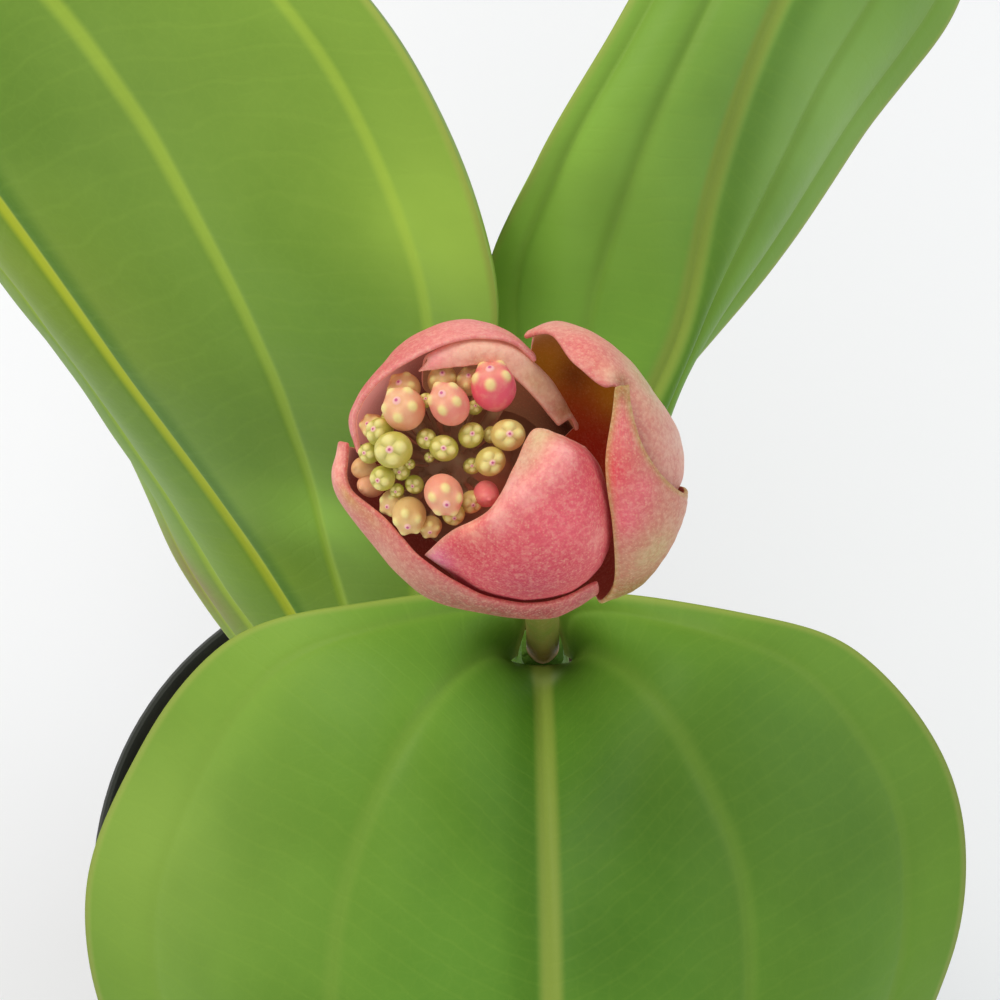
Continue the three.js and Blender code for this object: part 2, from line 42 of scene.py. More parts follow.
# camera, floor and light
studio = {
    "cameraPlace": (17.6, -94.85, 683.5),  # mm
    "cameraLean": 17,  # degrees off straight down
    "lens": 100.8,  # mm, on a sensor of this width
    "sensorWidth": 36,
    "floorSize": 6,  # m
    "floorColours": ("#f7f7f8", "#f3f4f5"),
    "skyColour": "#f4f7fb",
    "skyStrength": 0.56,
}

# name, place in m, aimed at in m, size in m, watts, colour
lamps = [
    ("windowLight", (-1.0, 1.1, 1.9), (0.0, 0.0, 0.3), 1.5, 31, "#fffaf2"),
    ("rightFill", (1.5, 0.5, 1.3), (0.0, 0.0, 0.3), 1.2, 7, "#eef5ff"),
    ("frontFill", (-0.2, -1.6, 1.2), (0.0, 0.0, 0.3), 1.4, 7, "#ffffff"),
]


def selectNothing():
    if bpy.context.object and bpy.context.object.mode != "OBJECT":
        bpy.ops.object.mode_set(mode="OBJECT")
    bpy.ops.object.select_all(action="DESELECT")


def makeActive(piece):
    selectNothing()
    piece.select_set(True)
    bpy.context.view_layer.objects.active = piece


def editMode(kind=None):
    # into edit mode with all of the active piece selected, or with what code has selected
    bpy.ops.object.mode_set(mode="EDIT")
    if kind:
        bpy.ops.mesh.select_mode(type=kind)
    else:
        bpy.ops.mesh.select_all(action="SELECT")


def clearSelection(piece):
    # leaves no corner, edge or face of the piece selected
    makeActive(piece)
    bpy.ops.object.mode_set(mode="EDIT")
    bpy.ops.mesh.select_all(action="DESELECT")
    bpy.ops.object.mode_set(mode="OBJECT")


def copyOf(model):
    copy = model.copy()
    copy.data = model.data.copy()
    bpy.context.collection.objects.link(copy)
    return copy


def colour(code):
    # "#rrggbb" as the linear values that sockets take
    parts = [int(code[i:i + 2], 16) / 255 for i in (1, 3, 5)]
    linear = [part / 12.92 if part <= 0.04045 else ((part + 0.055) / 1.055) ** 2.4 for part in parts]
    return (*linear, 1)


class Wire:
    # a node's output that can stand in a sum
    def __init__(self, paint, socket):
        self.paint = paint
        self.socket = socket

    def math(self, operation, *values):
        return self.paint.node("ShaderNodeMath", {"operation": operation}, dict(enumerate(values)))

    def __add__(self, other):
        return self.math("ADD", self, other)

    def __radd__(self, other):
        return self.math("ADD", other, self)

    def __sub__(self, other):
        return self.math("SUBTRACT", self, other)

    def __rsub__(self, other):
        return self.math("SUBTRACT", other, self)

    def __mul__(self, other):
        return self.math("MULTIPLY", self, other)

    def __rmul__(self, other):
        return self.math("MULTIPLY", other, self)

    def __abs__(self):
        return self.math("ABSOLUTE", self)


class Paint:
    # one material: its shader, and the nodes that feed it
    def __init__(self, name, **fixed):
        self.material = bpy.data.materials.new(name)
        self.material.use_nodes = True
        self.tree = self.material.node_tree
        self.shader = self.tree.nodes["Principled BSDF"]
        for socket, value in fixed.items():
            self.shader.inputs[socket.replace("_", " ")].default_value = value

    def node(self, kind, settings=None, inputs=None, output=0):
        new = self.tree.nodes.new(kind)
        for key, value in (settings or {}).items():
            if key == "stops":
                stops = new.color_ramp.elements
                while len(stops) < len(value):
                    stops.new(1)
                for stop, (place, code) in zip(stops, value):
                    stop.position = place
                    stop.color = colour(code)
            else:
                setattr(new, key, value)
        for key, value in (inputs or {}).items():
            if isinstance(value, Wire):
                self.tree.links.new(value.socket, new.inputs[key])
            else:
                new.inputs[key].default_value = value
        return Wire(self, new.outputs[output])

    def cover(self, **wires):
        # feeds the shader's sockets, and hands over the material
        for socket, wire in wires.items():
            self.tree.links.new(wire.socket, self.shader.inputs[socket.replace("_", " ")])
        return self.material

    def place(self):
        return self.node("ShaderNodeTexCoord", output="Object")

    def attribute(self, name, output="Fac"):
        return self.node("ShaderNodeAttribute", {"attribute_name": name}, output=output)

    def split(self, vector, axis):
        return self.node("ShaderNodeSeparateXYZ", {}, {0: vector}, output=axis)

    def step(self, value, low, high):
        # 0 below low, 1 above high, smooth between
        return self.node("ShaderNodeMapRange", {"interpolation_type": "SMOOTHSTEP"},
                         {"Value": value, "From Min": low, "From Max": high})

    def fade(self, value, low, high):
        # 1 below low, 0 above high
        return 1 - self.step(value, low, high)

    def mix(self, share, first, second):
        first, second = (colour(c) if isinstance(c, str) else c for c in (first, second))
        return self.node("ShaderNodeMix", {"data_type": "RGBA"}, {0: share, 6: first, 7: second}, output=2)

    def cloud(self, scale, detail=3, vector=None):
        return self.node("ShaderNodeTexNoise", {}, {
            "Vector": vector or self.place(), "Scale": scale, "Detail": detail, "Roughness": 0.55})

    def cells(self, scale, feature="F1", output="Distance"):
        return self.node("ShaderNodeTexVoronoi", {"feature": feature},
                         {"Vector": self.place(), "Scale": scale}, output=output)

    def bump(self, height, distance, strength=1.0, below=None):
        inputs = {"Height": height, "Distance": distance, "Strength": strength}
        if below:
            inputs["Normal"] = below
        return self.node("ShaderNodeBump", {}, inputs)


def setStage():
    selectNothing()
    bpy.ops.object.camera_add(location=[v * mm for v in studio["cameraPlace"]],
                              rotation=(math.radians(studio["cameraLean"]), 0, 0))
    camera = bpy.context.object
    camera.name = "camera"
    camera.data.lens = studio["lens"]
    camera.data.sensor_width = studio["sensorWidth"]
    bpy.context.scene.camera = camera
    bpy.context.scene.view_settings.view_transform = "Standard"

    world = bpy.data.worlds.new("sky")
    world.use_nodes = True
    bpy.context.scene.world = world
    background = world.node_tree.nodes["Background"]
    background.inputs["Color"].default_value = colour(studio["skyColour"])
    background.inputs["Strength"].default_value = studio["skyStrength"]

    for name, place, target, size, watts, tone in lamps:
        turn = (Vector(target) - Vector(place)).to_track_quat("-Z", "Y").to_euler()
        bpy.ops.object.light_add(type="AREA", location=place, rotation=turn)
        lamp = bpy.context.object
        lamp.name = name
        lamp.data.size = size
        lamp.data.energy = watts
        lamp.data.color = colour(tone)[:3]

    selectNothing()
    bpy.ops.mesh.primitive_plane_add(size=studio["floorSize"])
    floor = bpy.context.object
    floor.name = "floor"
    paint = Paint("paleFloor", Roughness=0.7)
    tone = paint.mix(paint.cloud(3), *studio["floorColours"])
    floor.data.materials.append(paint.cover(Base_Color=tone))


setStage()
print("camera, lamps and floor are in place")


# curves and sheets

def curvePoint(points, share):
    # a smooth curve through all of its points, evened out where they stand close
    place = (len(points) - 1) * share
    k = min(int(place), len(points) - 2)
    t = place - k
    p1, p2 = points[k], points[k + 1]
    p0 = points[k - 1] if k else 2 * p1 - p2
    p3 = points[k + 2] if k + 2 < len(points) else 2 * p2 - p1
    d1 = math.sqrt((p2 - p1).length) or 1
    d0 = math.sqrt((p1 - p0).length) or d1
    d2 = math.sqrt((p3 - p2).length) or d1
    m1 = ((p1 - p0) / d0 - (p2 - p0) / (d0 + d1) + (p2 - p1) / d1) * d1
    m2 = ((p2 - p1) / d1 - (p3 - p1) / (d1 + d2) + (p3 - p2) / d2) * d1
    return p1 + t * m1 + t * t * (3 * (p2 - p1) - 2 * m1 - m2) + t * t * t * (2 * (p1 - p2) + m1 + m2)


def sheetPoints(rows, columnCount, rowCount):
    # [column][row] points of a smooth sheet through rows of control points in mm, base row first
    rows = [[Vector(point) * mm for point in row] for row in rows]
    columns = []
    for i in range(columnCount + 1):
        along = [curvePoint(row, i / columnCount) for row in rows]
        columns.append([curvePoint(along, j / rowCount) for j in range(rowCount + 1)])
    return columns


def sheetNormal(points, i, j):
    across = points[min(i + 1, len(points) - 1)][j] - points[max(i - 1, 0)][j]
    along = points[i][min(j + 1, len(points[0]) - 1)] - points[i][max(j - 1, 0)]
    return across.cross(along).normalized()


def addSheet(name, points):
    # a grid primitive with its points moved onto the sheet; returns it with each point's column and row
    columnCount, rowCount = len(points) - 1, len(points[0]) - 1
    selectNothing()
    bpy.ops.mesh.primitive_grid_add(x_subdivisions=columnCount, y_subdivisions=rowCount, size=1)
    piece = bpy.context.object
    piece.name = name
    cells = []
    for vertex in piece.data.vertices:
        i, j = round((vertex.co.x + 0.5) * columnCount), round((vertex.co.y + 0.5) * rowCount)
        cells.append((i, j))
        vertex.co = points[i][j]
    return piece, cells


def addAttribute(piece, name, kind, values):
    attribute = piece.data.attributes.new(name, kind, "POINT")
    field = {"FLOAT": "value", "FLOAT_VECTOR": "vector", "FLOAT_COLOR": "color"}[kind]
    if kind != "FLOAT":
        values = [number for value in values for number in value]
    attribute.data.foreach_set(field, values)


def applyModifier(piece, name, kind, **settings):
    makeActive(piece)
    modifier = piece.modifiers.new(name, kind)
    for key, value in settings.items():
        setattr(modifier, key, value)
    bpy.ops.object.modifier_apply(modifier=name)


def joinPieces(pieces, name):
    selectNothing()
    for piece in pieces:
        piece.select_set(True)
    bpy.context.view_layer.objects.active = pieces[0]
    bpy.ops.object.join()
    pieces[0].name = name
    return pieces[0]


def finishPiece(piece, node, angle=None):
    # shaded smooth all over, or only where faces turn by less than the angle in degrees
    makeActive(piece)
    if angle:
        bpy.ops.object.shade_smooth_by_angle(angle=math.radians(angle))
    else:
        bpy.ops.object.shade_smooth()
    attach(piece, "root")
    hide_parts(node)
    print(piece.name, "done:", len(piece.data.polygons), "faces")


def hump(value, centre, width):
    return math.exp(-((value - centre) / width) ** 2)


def shadedTone(body, colourAndLightPatches, point):
    # the body colour as changed at this point by soft round patches, which paint the thing's own tones and
    # also light and shade on it
    tone = Vector(colour(body)[:3])
    for place, reach, code, strength in colourAndLightPatches:
        share = strength * hump((point - Vector(place)).length, 0, reach)
        tone = tone.lerp(Vector(colour(code)[:3]), share)
    return tone


# leaves
leafShape = {
    "columns": 120,
    "rows": 150,
    # heights and widths in mm
    "thickness": 0.9,
    "midribDepth": 2.2,
    "quiltHeight": 0.9,
    "midribGroove": 0.55,
    "midribWidth": 1.3,
    "veinGroove": 0.4,
    "innerWidth": 0.9,
    "outerWidth": 0.8,
    "pucker": 0.35,
    "puckerScale": 70,  # of its noise, in m
    "puckerFrom": 6,  # full strength from here on, away from the midrib
    # shares of the half width
    "innerVein": 0.45,
    "outerVein": 0.85,
    "nextVein": 1.15,  # past the margin, so that the last quilt stays open
    "outerShare": 0.6,  # depth of the outer groove against the inner one
    "lobeShares": (0.45, 1, 0.3),  # how much of the lobe each of the first rows takes
    "ribStart": 0.25,  # share of the leaf over which the midrib grows out of its base
    # each vein's share of the midrib's depth below, and its half width there
    "innerUnder": (0.25, 0.8),
    "outerUnder": (0.18, 0.7),
}

leaves = {
    "leafFront": {
        "node": "leaf_front",
        "finish": "matureLeaf",
        "midrib": [
            (23.7, 0.6, 289.6), (23.8, -7, 297), (23.9, -17, 306), (24.1, -31, 312), (24.3, -47, 314.5),
            (24.5, -66, 312), (24.8, -86, 302), (25, -104, 285), (25.2, -121, 258)],
        "left": [
            (26.9, 2, 290.2), (26.3, 8.2, 297.5), (50, 3, 309.5), (66.3, -0.9, 305), (80.7, -16.5, 294),
            (82.3, -36, 286), (69, -65, 273), (46, -95, 267), (26.7, -120.6, 258)],
        "right": [
            (20.2, 1.9, 290.2), (20.9, 8.2, 297.5), (-2, 4.4, 309), (-20, 0, 305.5), (-36.4, -19.7, 293),
            (-40.8, -37, 285.5), (-30, -66, 272), (-2, -96, 266), (23.7, -120.6, 258)],
        "archLeft": (0, 0, 6),
        "archRight": (0, 0, 6),
        "lobe": (6, 0, 0),
        "body": "#5d8c2c",
        # soft patches that paint the leaf's own tones and also light and shade on it, here lighter to the
        # left and darker right of the midrib and near the stalk: place in mm, reach, colour, strength
        "colourAndLightPatches": [
            ((-32, -25, 296), 26, "#86a648", 0.9), ((8, -23, 314), 18, "#64902c", 0.7),
            ((38, -24, 314), 17, "#487422", 0.9), ((66, -22, 304), 20, "#5a8434", 0.8),
            ((24, 2, 296), 13, "#3e6812", 0.9), ((-17, 0, 306), 14, "#83ab40", 0.8),
            ((31, -44, 314.5), 9, "#44701f", 0.9), ((23.7, 2, 290), 2.6, "#6c5a2a", 1.0),
            ((24.2, -2.1, 292.4), 1.8, "#a9b784", 1.0)],
    },
    "leafUpperRight": {
        "node": "leaf_upper_right",
        "finish": "matureLeaf",
        "midrib": [
            (25.8, 8.3, 287), (30, 18, 298), (36.5, 30, 308), (42.6, 41.6, 318), (46.5, 58, 329),
            (51.5, 72, 337), (60, 90, 341), (70, 109, 338), (80, 128, 326)],
        "left": [
            (22.6, 9, 287.5), (18.8, 20, 291), (18, 36, 294), (16, 54, 303.5), (22.8, 62, 330.5),
            (32, 75.5, 338), (43, 95, 339), (58, 116, 335), (79, 128.8, 326)],
        "right": [
            (28.6, 6.4, 286.5), (33.5, 14, 288), (37.8, 26, 291), (41.5, 38.8, 298), (56, 55.6, 305),
            (69.6, 75, 309), (85, 97, 308), (90, 116, 312), (81, 127.4, 326)],
        "archLeft": (0, 0, 3),
        "archRight": (2, -1, 4),
        "body": "#74a03a",
        "colourAndLightPatches": [
            ((24, 56, 322), 18, "#9ccc50", 1.0), ((62, 70, 324), 22, "#90b860", 0.9),
            ((34, 42, 312), 14, "#6a9634", 0.8)],
    },
    "leafLeft": {
        "node": "leaf_left",
        "finish": "freshLeaf",
        "midrib": [
            (-2.4, 5.1, 150), (-11.8, 20.6, 180), (-20, 31.7, 205), (-28.5, 40.5, 232), (-41.6, 53.2, 263),
            (-57.2, 69.8, 296), (-71, 84.5, 316), (-86, 99.5, 327), (-100, 112, 330)],
        "left": [
            (-4.6, 3.2, 150), (-22.5, 23, 160), (-40.7, 44.9, 178), (-48.5, 60.6, 196), (-54.5, 70.6, 211),
            (-68.5, 84, 236), (-83, 100, 266), (-94, 111, 298), (-101, 112.4, 327.6)],
        "right": [
            (0.6, 6.2, 151), (6, 20, 196), (9.4, 31, 240), (15.4, 40, 286), (16.6, 50.6, 323),
            (4.1, 75.6, 339), (-18, 97, 344), (-54, 113, 342), (-98.4, 113, 332)],
        "archLeft": (-3, -2, 5),
        "archRight": (-6, 3, 6),
        "body": "#7ca03a",
        "colourAndLightPatches": [
            ((10, 53, 320), 15, "#b0d450", 1.0), ((-7, 50, 296), 18, "#6f9a2c", 0.8),
            ((-40, 80, 325), 26, "#7a9c40", 0.8), ((-52, 62, 275), 22, "#71902a", 0.9),
            ((-39, 43, 184), 12, "#8a6238", 1.0), ((-24, 36, 220), 12, "#8cae1e", 0.9),
            ((-9, 37, 242), 12, "#b0e05a", 0.9), ((-57, 65, 272), 22, "#86a01c", 0.9)],
    },
}

# the leaf opposite the left one, spread out level low down
lowerLeaf = {
    "midrib": [
        (4.6, -4.8, 148), (12.5, -18, 158), (23.5, -35.5, 172), (35, -54, 186), (47, -73, 197),
        (59.5, -93, 203), (71.5, -112, 203), (82.5, -130, 196), (92, -145, 182)],
    "halfWidth": [2.6, 22, 41, 54, 59, 57, 46, 27, 1],
    "setBack": [0, 16, 19, 16, 11, 7, 4, 2, 0],
    "sink": [0, -5, -2, 4, 10, 14, 14, 9, 0],
    "side": (0.848, 0.53, 0),
    "out": (0.53, -0.848, 0),
}


def lowerMargin(side):
    margin = []
    for k, middle in enumerate(lowerLeaf["midrib"]):
        point = Vector(middle) + Vector(lowerLeaf["side"]) * side * lowerLeaf["halfWidth"][k]
        point -= Vector(lowerLeaf["out"]) * lowerLeaf["setBack"][k]
        margin.append(point - Vector((0, 0, lowerLeaf["sink"][k])))
    return margin


leaves["leafLowerRight"] = {
    "node": "leaf_lower_right",
    "finish": "matureLeaf",
    "midrib": lowerLeaf["midrib"],
    "left": lowerMargin(1),
    "right": lowerMargin(-1),
    "archLeft": (0, 0, 6),
    "archRight": (0, 0, 6),
    "body": "#5a8530",
    "colourAndLightPatches": [((60, -93, 200), 40, "#6c9440", 0.7), ((12, -18, 160), 16, "#54781f", 0.8)],
}


def quilt(place):
    # height of the blade between its veins, from midrib (0) to margin (1)
    veins = [0, leafShape["innerVein"], leafShape["outerVein"], leafShape["nextVein"]]
    before = max(vein for vein in veins if vein <= place)
    after = min(vein for vein in veins if vein > place)
    return math.sin(math.pi * (place - before) / (after - before))


def leafRows(leaf):
    rows = []
    last = len(leaf["midrib"]) - 1
    for k, middle in enumerate(leaf["midrib"]):
        share = math.sin(math.pi * k / last)
        swelling = leafShape["lobeShares"][k] if k < len(leafShape["lobeShares"]) else 0
        middle, left, right = Vector(middle), Vector(leaf["left"][k]), Vector(leaf["right"][k])
        lobe = Vector(leaf.get("lobe", (0, 0, 0))) * swelling
        rows.append([
            left,
            (left + middle) / 2 + Vector(leaf["archLeft"]) * share + lobe,
            middle,
            (middle + right) / 2 + Vector(leaf["archRight"]) * share - lobe,
            right])
    return rows


def addLeaf(name, leaf, finishes):
    columns, rowCount = leafShape["columns"], leafShape["rows"]
    flat = sheetPoints(leafRows(leaf), columns, rowCount)
    middle = columns // 2
    distance = [[0.0] * (rowCount + 1) for _ in range(columns + 1)]
    for j in range(rowCount + 1):
        for step in (1, -1):
            i = middle
            while 0 <= i + step <= columns:
                distance[i + step][j] = distance[i][j] + (flat[i + step][j] - flat[i][j]).length / mm
                i += step
    inner = round(middle * leafShape["innerVein"])
    outer = round(middle * leafShape["outerVein"])

    top = []
    for i in range(columns + 1):
        place = abs(i - middle) / middle
        side = 1 if i > middle else -1
        line = []
        for j in range(rowCount + 1):
            fade = math.sin(math.pi * (j + 0.5) / (rowCount + 1))
            fromRib = distance[i][j]
            fromInner = fromRib - distance[middle + side * inner][j]
            fromOuter = fromRib - distance[middle + side * outer][j]
            rise = leafShape["quiltHeight"] * fade * quilt(place)
            ribGroove = leafShape["midribGroove"] * min(1, fade * 3)
            rise -= ribGroove * hump(fromRib, 0, leafShape["midribWidth"])
            groove = leafShape["veinGroove"]
            rise -= groove * fade * hump(fromInner, 0, leafShape["innerWidth"])
            rise -= groove * leafShape["outerShare"] * fade * hump(fromOuter, 0, leafShape["outerWidth"])
            rough = noise.noise(flat[i][j] * leafShape["puckerScale"])
            rise += leafShape["pucker"] * fade * rough * min(1, fromRib / leafShape["puckerFrom"])
            line.append(flat[i][j] + sheetNormal(flat, i, j) * rise * mm)
        top.append(line)

    piece, cells = addSheet(name, top)
    veins, edges, tints = [], [], []
    rib = piece.vertex_groups.new(name="rib")
    for index, (i, j) in enumerate(cells):
        side = 1 if i > middle else -1
        end = columns if side > 0 else 0
        fromRib = distance[i][j]
        fromInner = fromRib - distance[middle + side * inner][j]
        fromOuter = fromRib - distance[middle + side * outer][j]
        toTip = (top[middle][rowCount] - top[i][j]).length / mm
        veins.append((fromRib * side, fromInner, fromOuter))
        edges.append(min(distance[end][j] - fromRib, toTip))
        tints.append((*shadedTone(leaf["body"], leaf["colourAndLightPatches"], top[i][j] / mm), 1))
        taper = (1 - 0.8 * j / rowCount) * min(1, j / rowCount / leafShape["ribStart"])
        (innerDepth, innerHalf), (outerDepth, outerHalf) = leafShape["innerUnder"], leafShape["outerUnder"]
        weight = max(hump(fromRib, 0, 1.4 + taper), innerDepth * hump(fromInner, 0, innerHalf),
                     outerDepth * hump(fromOuter, 0, outerHalf))
        rib.add([index], taper * weight, "REPLACE")
    addAttribute(piece, "veins", "FLOAT_VECTOR", veins)
    addAttribute(piece, "edge", "FLOAT", edges)
    addAttribute(piece, "tint", "FLOAT_COLOR", tints)
    for finish in finishes:
        piece.data.materials.append(finish)
    depth = leafShape["thickness"] + leafShape["midribDepth"]
    applyModifier(piece, "thickness", "SOLIDIFY", thickness=depth * mm, offset=-1, vertex_group="rib",
                  thickness_vertex_group=leafShape["thickness"] / depth, material_offset=1,
                  material_offset_rim=2)
    finishPiece(piece, leaf["node"])


# tones for the leaf tops; the last two paint shade in the fold beside the midrib, and how strongly
leafColours = {
    "matureLeaf": {"deep": "#2f5a0e", "light": "#8cac40", "rib": "#90a044", "vein": "#7c9c3c",
                   "margin": "#a0aa50", "paintedRibShade": "#3f6a12", "paintedRibShadeShare": 0.45},
    "freshLeaf": {"deep": "#4d7a14", "light": "#a4c650", "rib": "#ccd430", "vein": "#cfe850",
                  "margin": "#b0b858", "paintedRibShade": "#4a7c08", "paintedRibShadeShare": 0.75},
}


def leafTop(name, tones):
    paint = Paint(name, Roughness=0.5, Specular_IOR_Level=0.12)
    veins = paint.attribute("veins", "Vector")
    acrossRib = paint.split(veins, "X")
    fromRib = abs(acrossRib)
    fromInner = paint.split(veins, "Y")
    fromOuter = paint.split(veins, "Z")
    edge = paint.attribute("edge")
    along = paint.split(paint.node("ShaderNodeTexCoord", output="UV"), "Y")

    patches = paint.cloud(28, 3)
    grain = paint.cloud(420, 4)
    body = paint.attribute("tint", "Color")
    body = paint.mix(paint.fade(patches, 0.3, 0.65) * 0.3, body, tones["deep"])
    body = paint.mix(paint.step(fromOuter, -9, 6) * 0.2, body, tones["light"])
    body = paint.mix(paint.step(fromInner, -14, 0) * 0.1, body, tones["light"])
    body = paint.mix(grain * 0.12, body, tones["light"])
    # painted shade in the fold beside the midrib, on one side only
    paintedRibShade = paint.step(acrossRib, 1, 2.4) * paint.fade(acrossRib, 3, 8)
    body = paint.mix(paintedRibShade * tones["paintedRibShadeShare"], body, tones["paintedRibShade"])

    # fine cross veins between the long ones, and the net between those
    run = along * 46 + fromRib * 0.035 + paint.cloud(60, 2) * 1.6
    crossVein = paint.fade(run.math("PINGPONG", run, 0.5), 0.02, 0.12)
    net = paint.fade(paint.cells(430, "DISTANCE_TO_EDGE"), 0.0, 0.12)
    body = paint.mix(crossVein * 0.05, body, tones["light"])
    body = paint.mix(net * 0.03, body, tones["light"])

    innerLine = paint.fade(abs(fromInner), 0.3, 2.1)
    outerLine = paint.fade(abs(fromOuter), 0.2, 1.6)
    ribLine = paint.fade(fromRib, 0.7, 2.1)
    body = paint.mix(innerLine * 0.38, body, tones["vein"])
    body = paint.mix(outerLine * 0.3, body, tones["vein"])
    body = paint.mix(ribLine * 0.75, body, tones["rib"])
    body = paint.mix(paint.fade(edge, 0.2, 1.6) * 0.6, body, tones["margin"])
    low = paint.bump(grain, 0.0002, 0.25)
    return paint.cover(Base_Color=body, Roughness=0.4 + 0.12 * patches + 0.06 * grain,
                       Normal=paint.bump(crossVein * -0.6 + net * -0.3, 0.00012, 0.16, low))


def leafUnder(name):
    paint = Paint(name, Roughness=0.6)
    veins = paint.attribute("veins", "Vector")
    fromRib = abs(paint.split(veins, "X"))
    fromInner = abs(paint.split(veins, "Y"))
    fromOuter = abs(paint.split(veins, "Z"))
    patches = paint.cloud(45, 4)
    net = paint.fade(paint.cells(430, "DISTANCE_TO_EDGE"), 0.0, 0.14)
    body = paint.mix(patches, "#7f9a55", "#9bb272")
    body = paint.mix(net * 0.2, body, "#b4c48c")
    body = paint.mix(paint.fade(fromInner, 0.3, 1.2) * 0.6, body, "#b9c58a")
    body = paint.mix(paint.fade(fromOuter, 0.3, 1.1) * 0.5, body, "#b9c58a")
    body = paint.mix(paint.fade(fromRib, 1.2, 2.6) * 0.85, body, "#b3b078")
    return paint.cover(Base_Color=body, Roughness=0.55 + 0.15 * patches,
                       Normal=paint.bump(net + paint.cloud(500, 3) * 0.6, 0.00015, 0.6))


def leafRim(name):
    paint = Paint(name, Roughness=0.5)
    edge = paint.mix(paint.cloud(90, 3), "#8b9a4c", "#b3b46b")
    body = paint.mix(0.3, paint.attribute("tint", "Color"), edge)
    return paint.cover(Base_Color=body, Normal=paint.bump(paint.cloud(600, 2), 0.0001, 0.5))


under, rim = leafUnder("leafUnderside"), leafRim("leafRim")
leafTops = {name: leafTop(name, tones) for name, tones in leafColours.items()}
for name, leaf in leaves.items():
    addLeaf(name, leaf, [leafTops[leaf["finish"]], under, rim])


# bracts, in the bud's own frame: x right, y back, z out of the opening, in mm
budCentre = Vector((18.2, 4.8, 369.5))
budTurn = Matrix.Rotation(math.radians(17), 4, "X")
budFrame = Matrix.Translation(budCentre * mm) @ budTurn

bractShape = {
    "thickness": 0.75,
    "columns": 64,
    "rows": 48,
    "ripple": 0.16,
    "rippleScale": 230,  # of its noise, in m
    "veinRelief": 0.02,
    "veinCount": 11,
    "smoothRows": 10,  # first rows, over which the relief grows
    "marginWidth": 0.7,
    "marginTint": 0.8,
    "edgeThickness": 0.55,
    "edgeReach": 2.5,  # full thickness from here on, away from the edge
    "stalkEnd": "#a8995a",
    "stalkTint": 0.7,
    "stalkReach": 2.4,
}
outerBase = {"centre": (0, -5, -16.6), "reach": 4.4, "lowShare": 0.62, "lowDrop": 0.7}
innerBase = {"centre": (0, -4, -13.4), "reach": 4.2, "lowShare": 0.66, "lowDrop": 0.68}
outermostBase = {"centre": (0, -5, -18.2), "reach": 5.8, "lowShare": 0.62, "lowDrop": 0.7}


def bractRows(bract):
    base = bract["base"]
    cx, cy, cz = base["centre"]
    reach, lowShare, lowDrop = base["reach"], base["lowShare"], base["lowDrop"]
    foot, low, side = [], [], []
    for x, y, z in bract["belly"]:
        length = math.hypot(x - cx, y - cy)
        foot.append((cx + (x - cx) / length * reach, cy + (y - cy) / length * reach, cz))
        low.append((cx + (x - cx) * lowShare, cy * 0.8 + (y - cy * 0.8) * lowShare,
                    cz + (z - cz) * (1 - lowDrop)))
        side.append((cx + (x - cx) * 0.92, cy * 0.4 + (y - cy * 0.4) * 0.92, cz + (z - cz) * 0.66))
    return [foot, low, side, bract["belly"], *bract["upper"]]


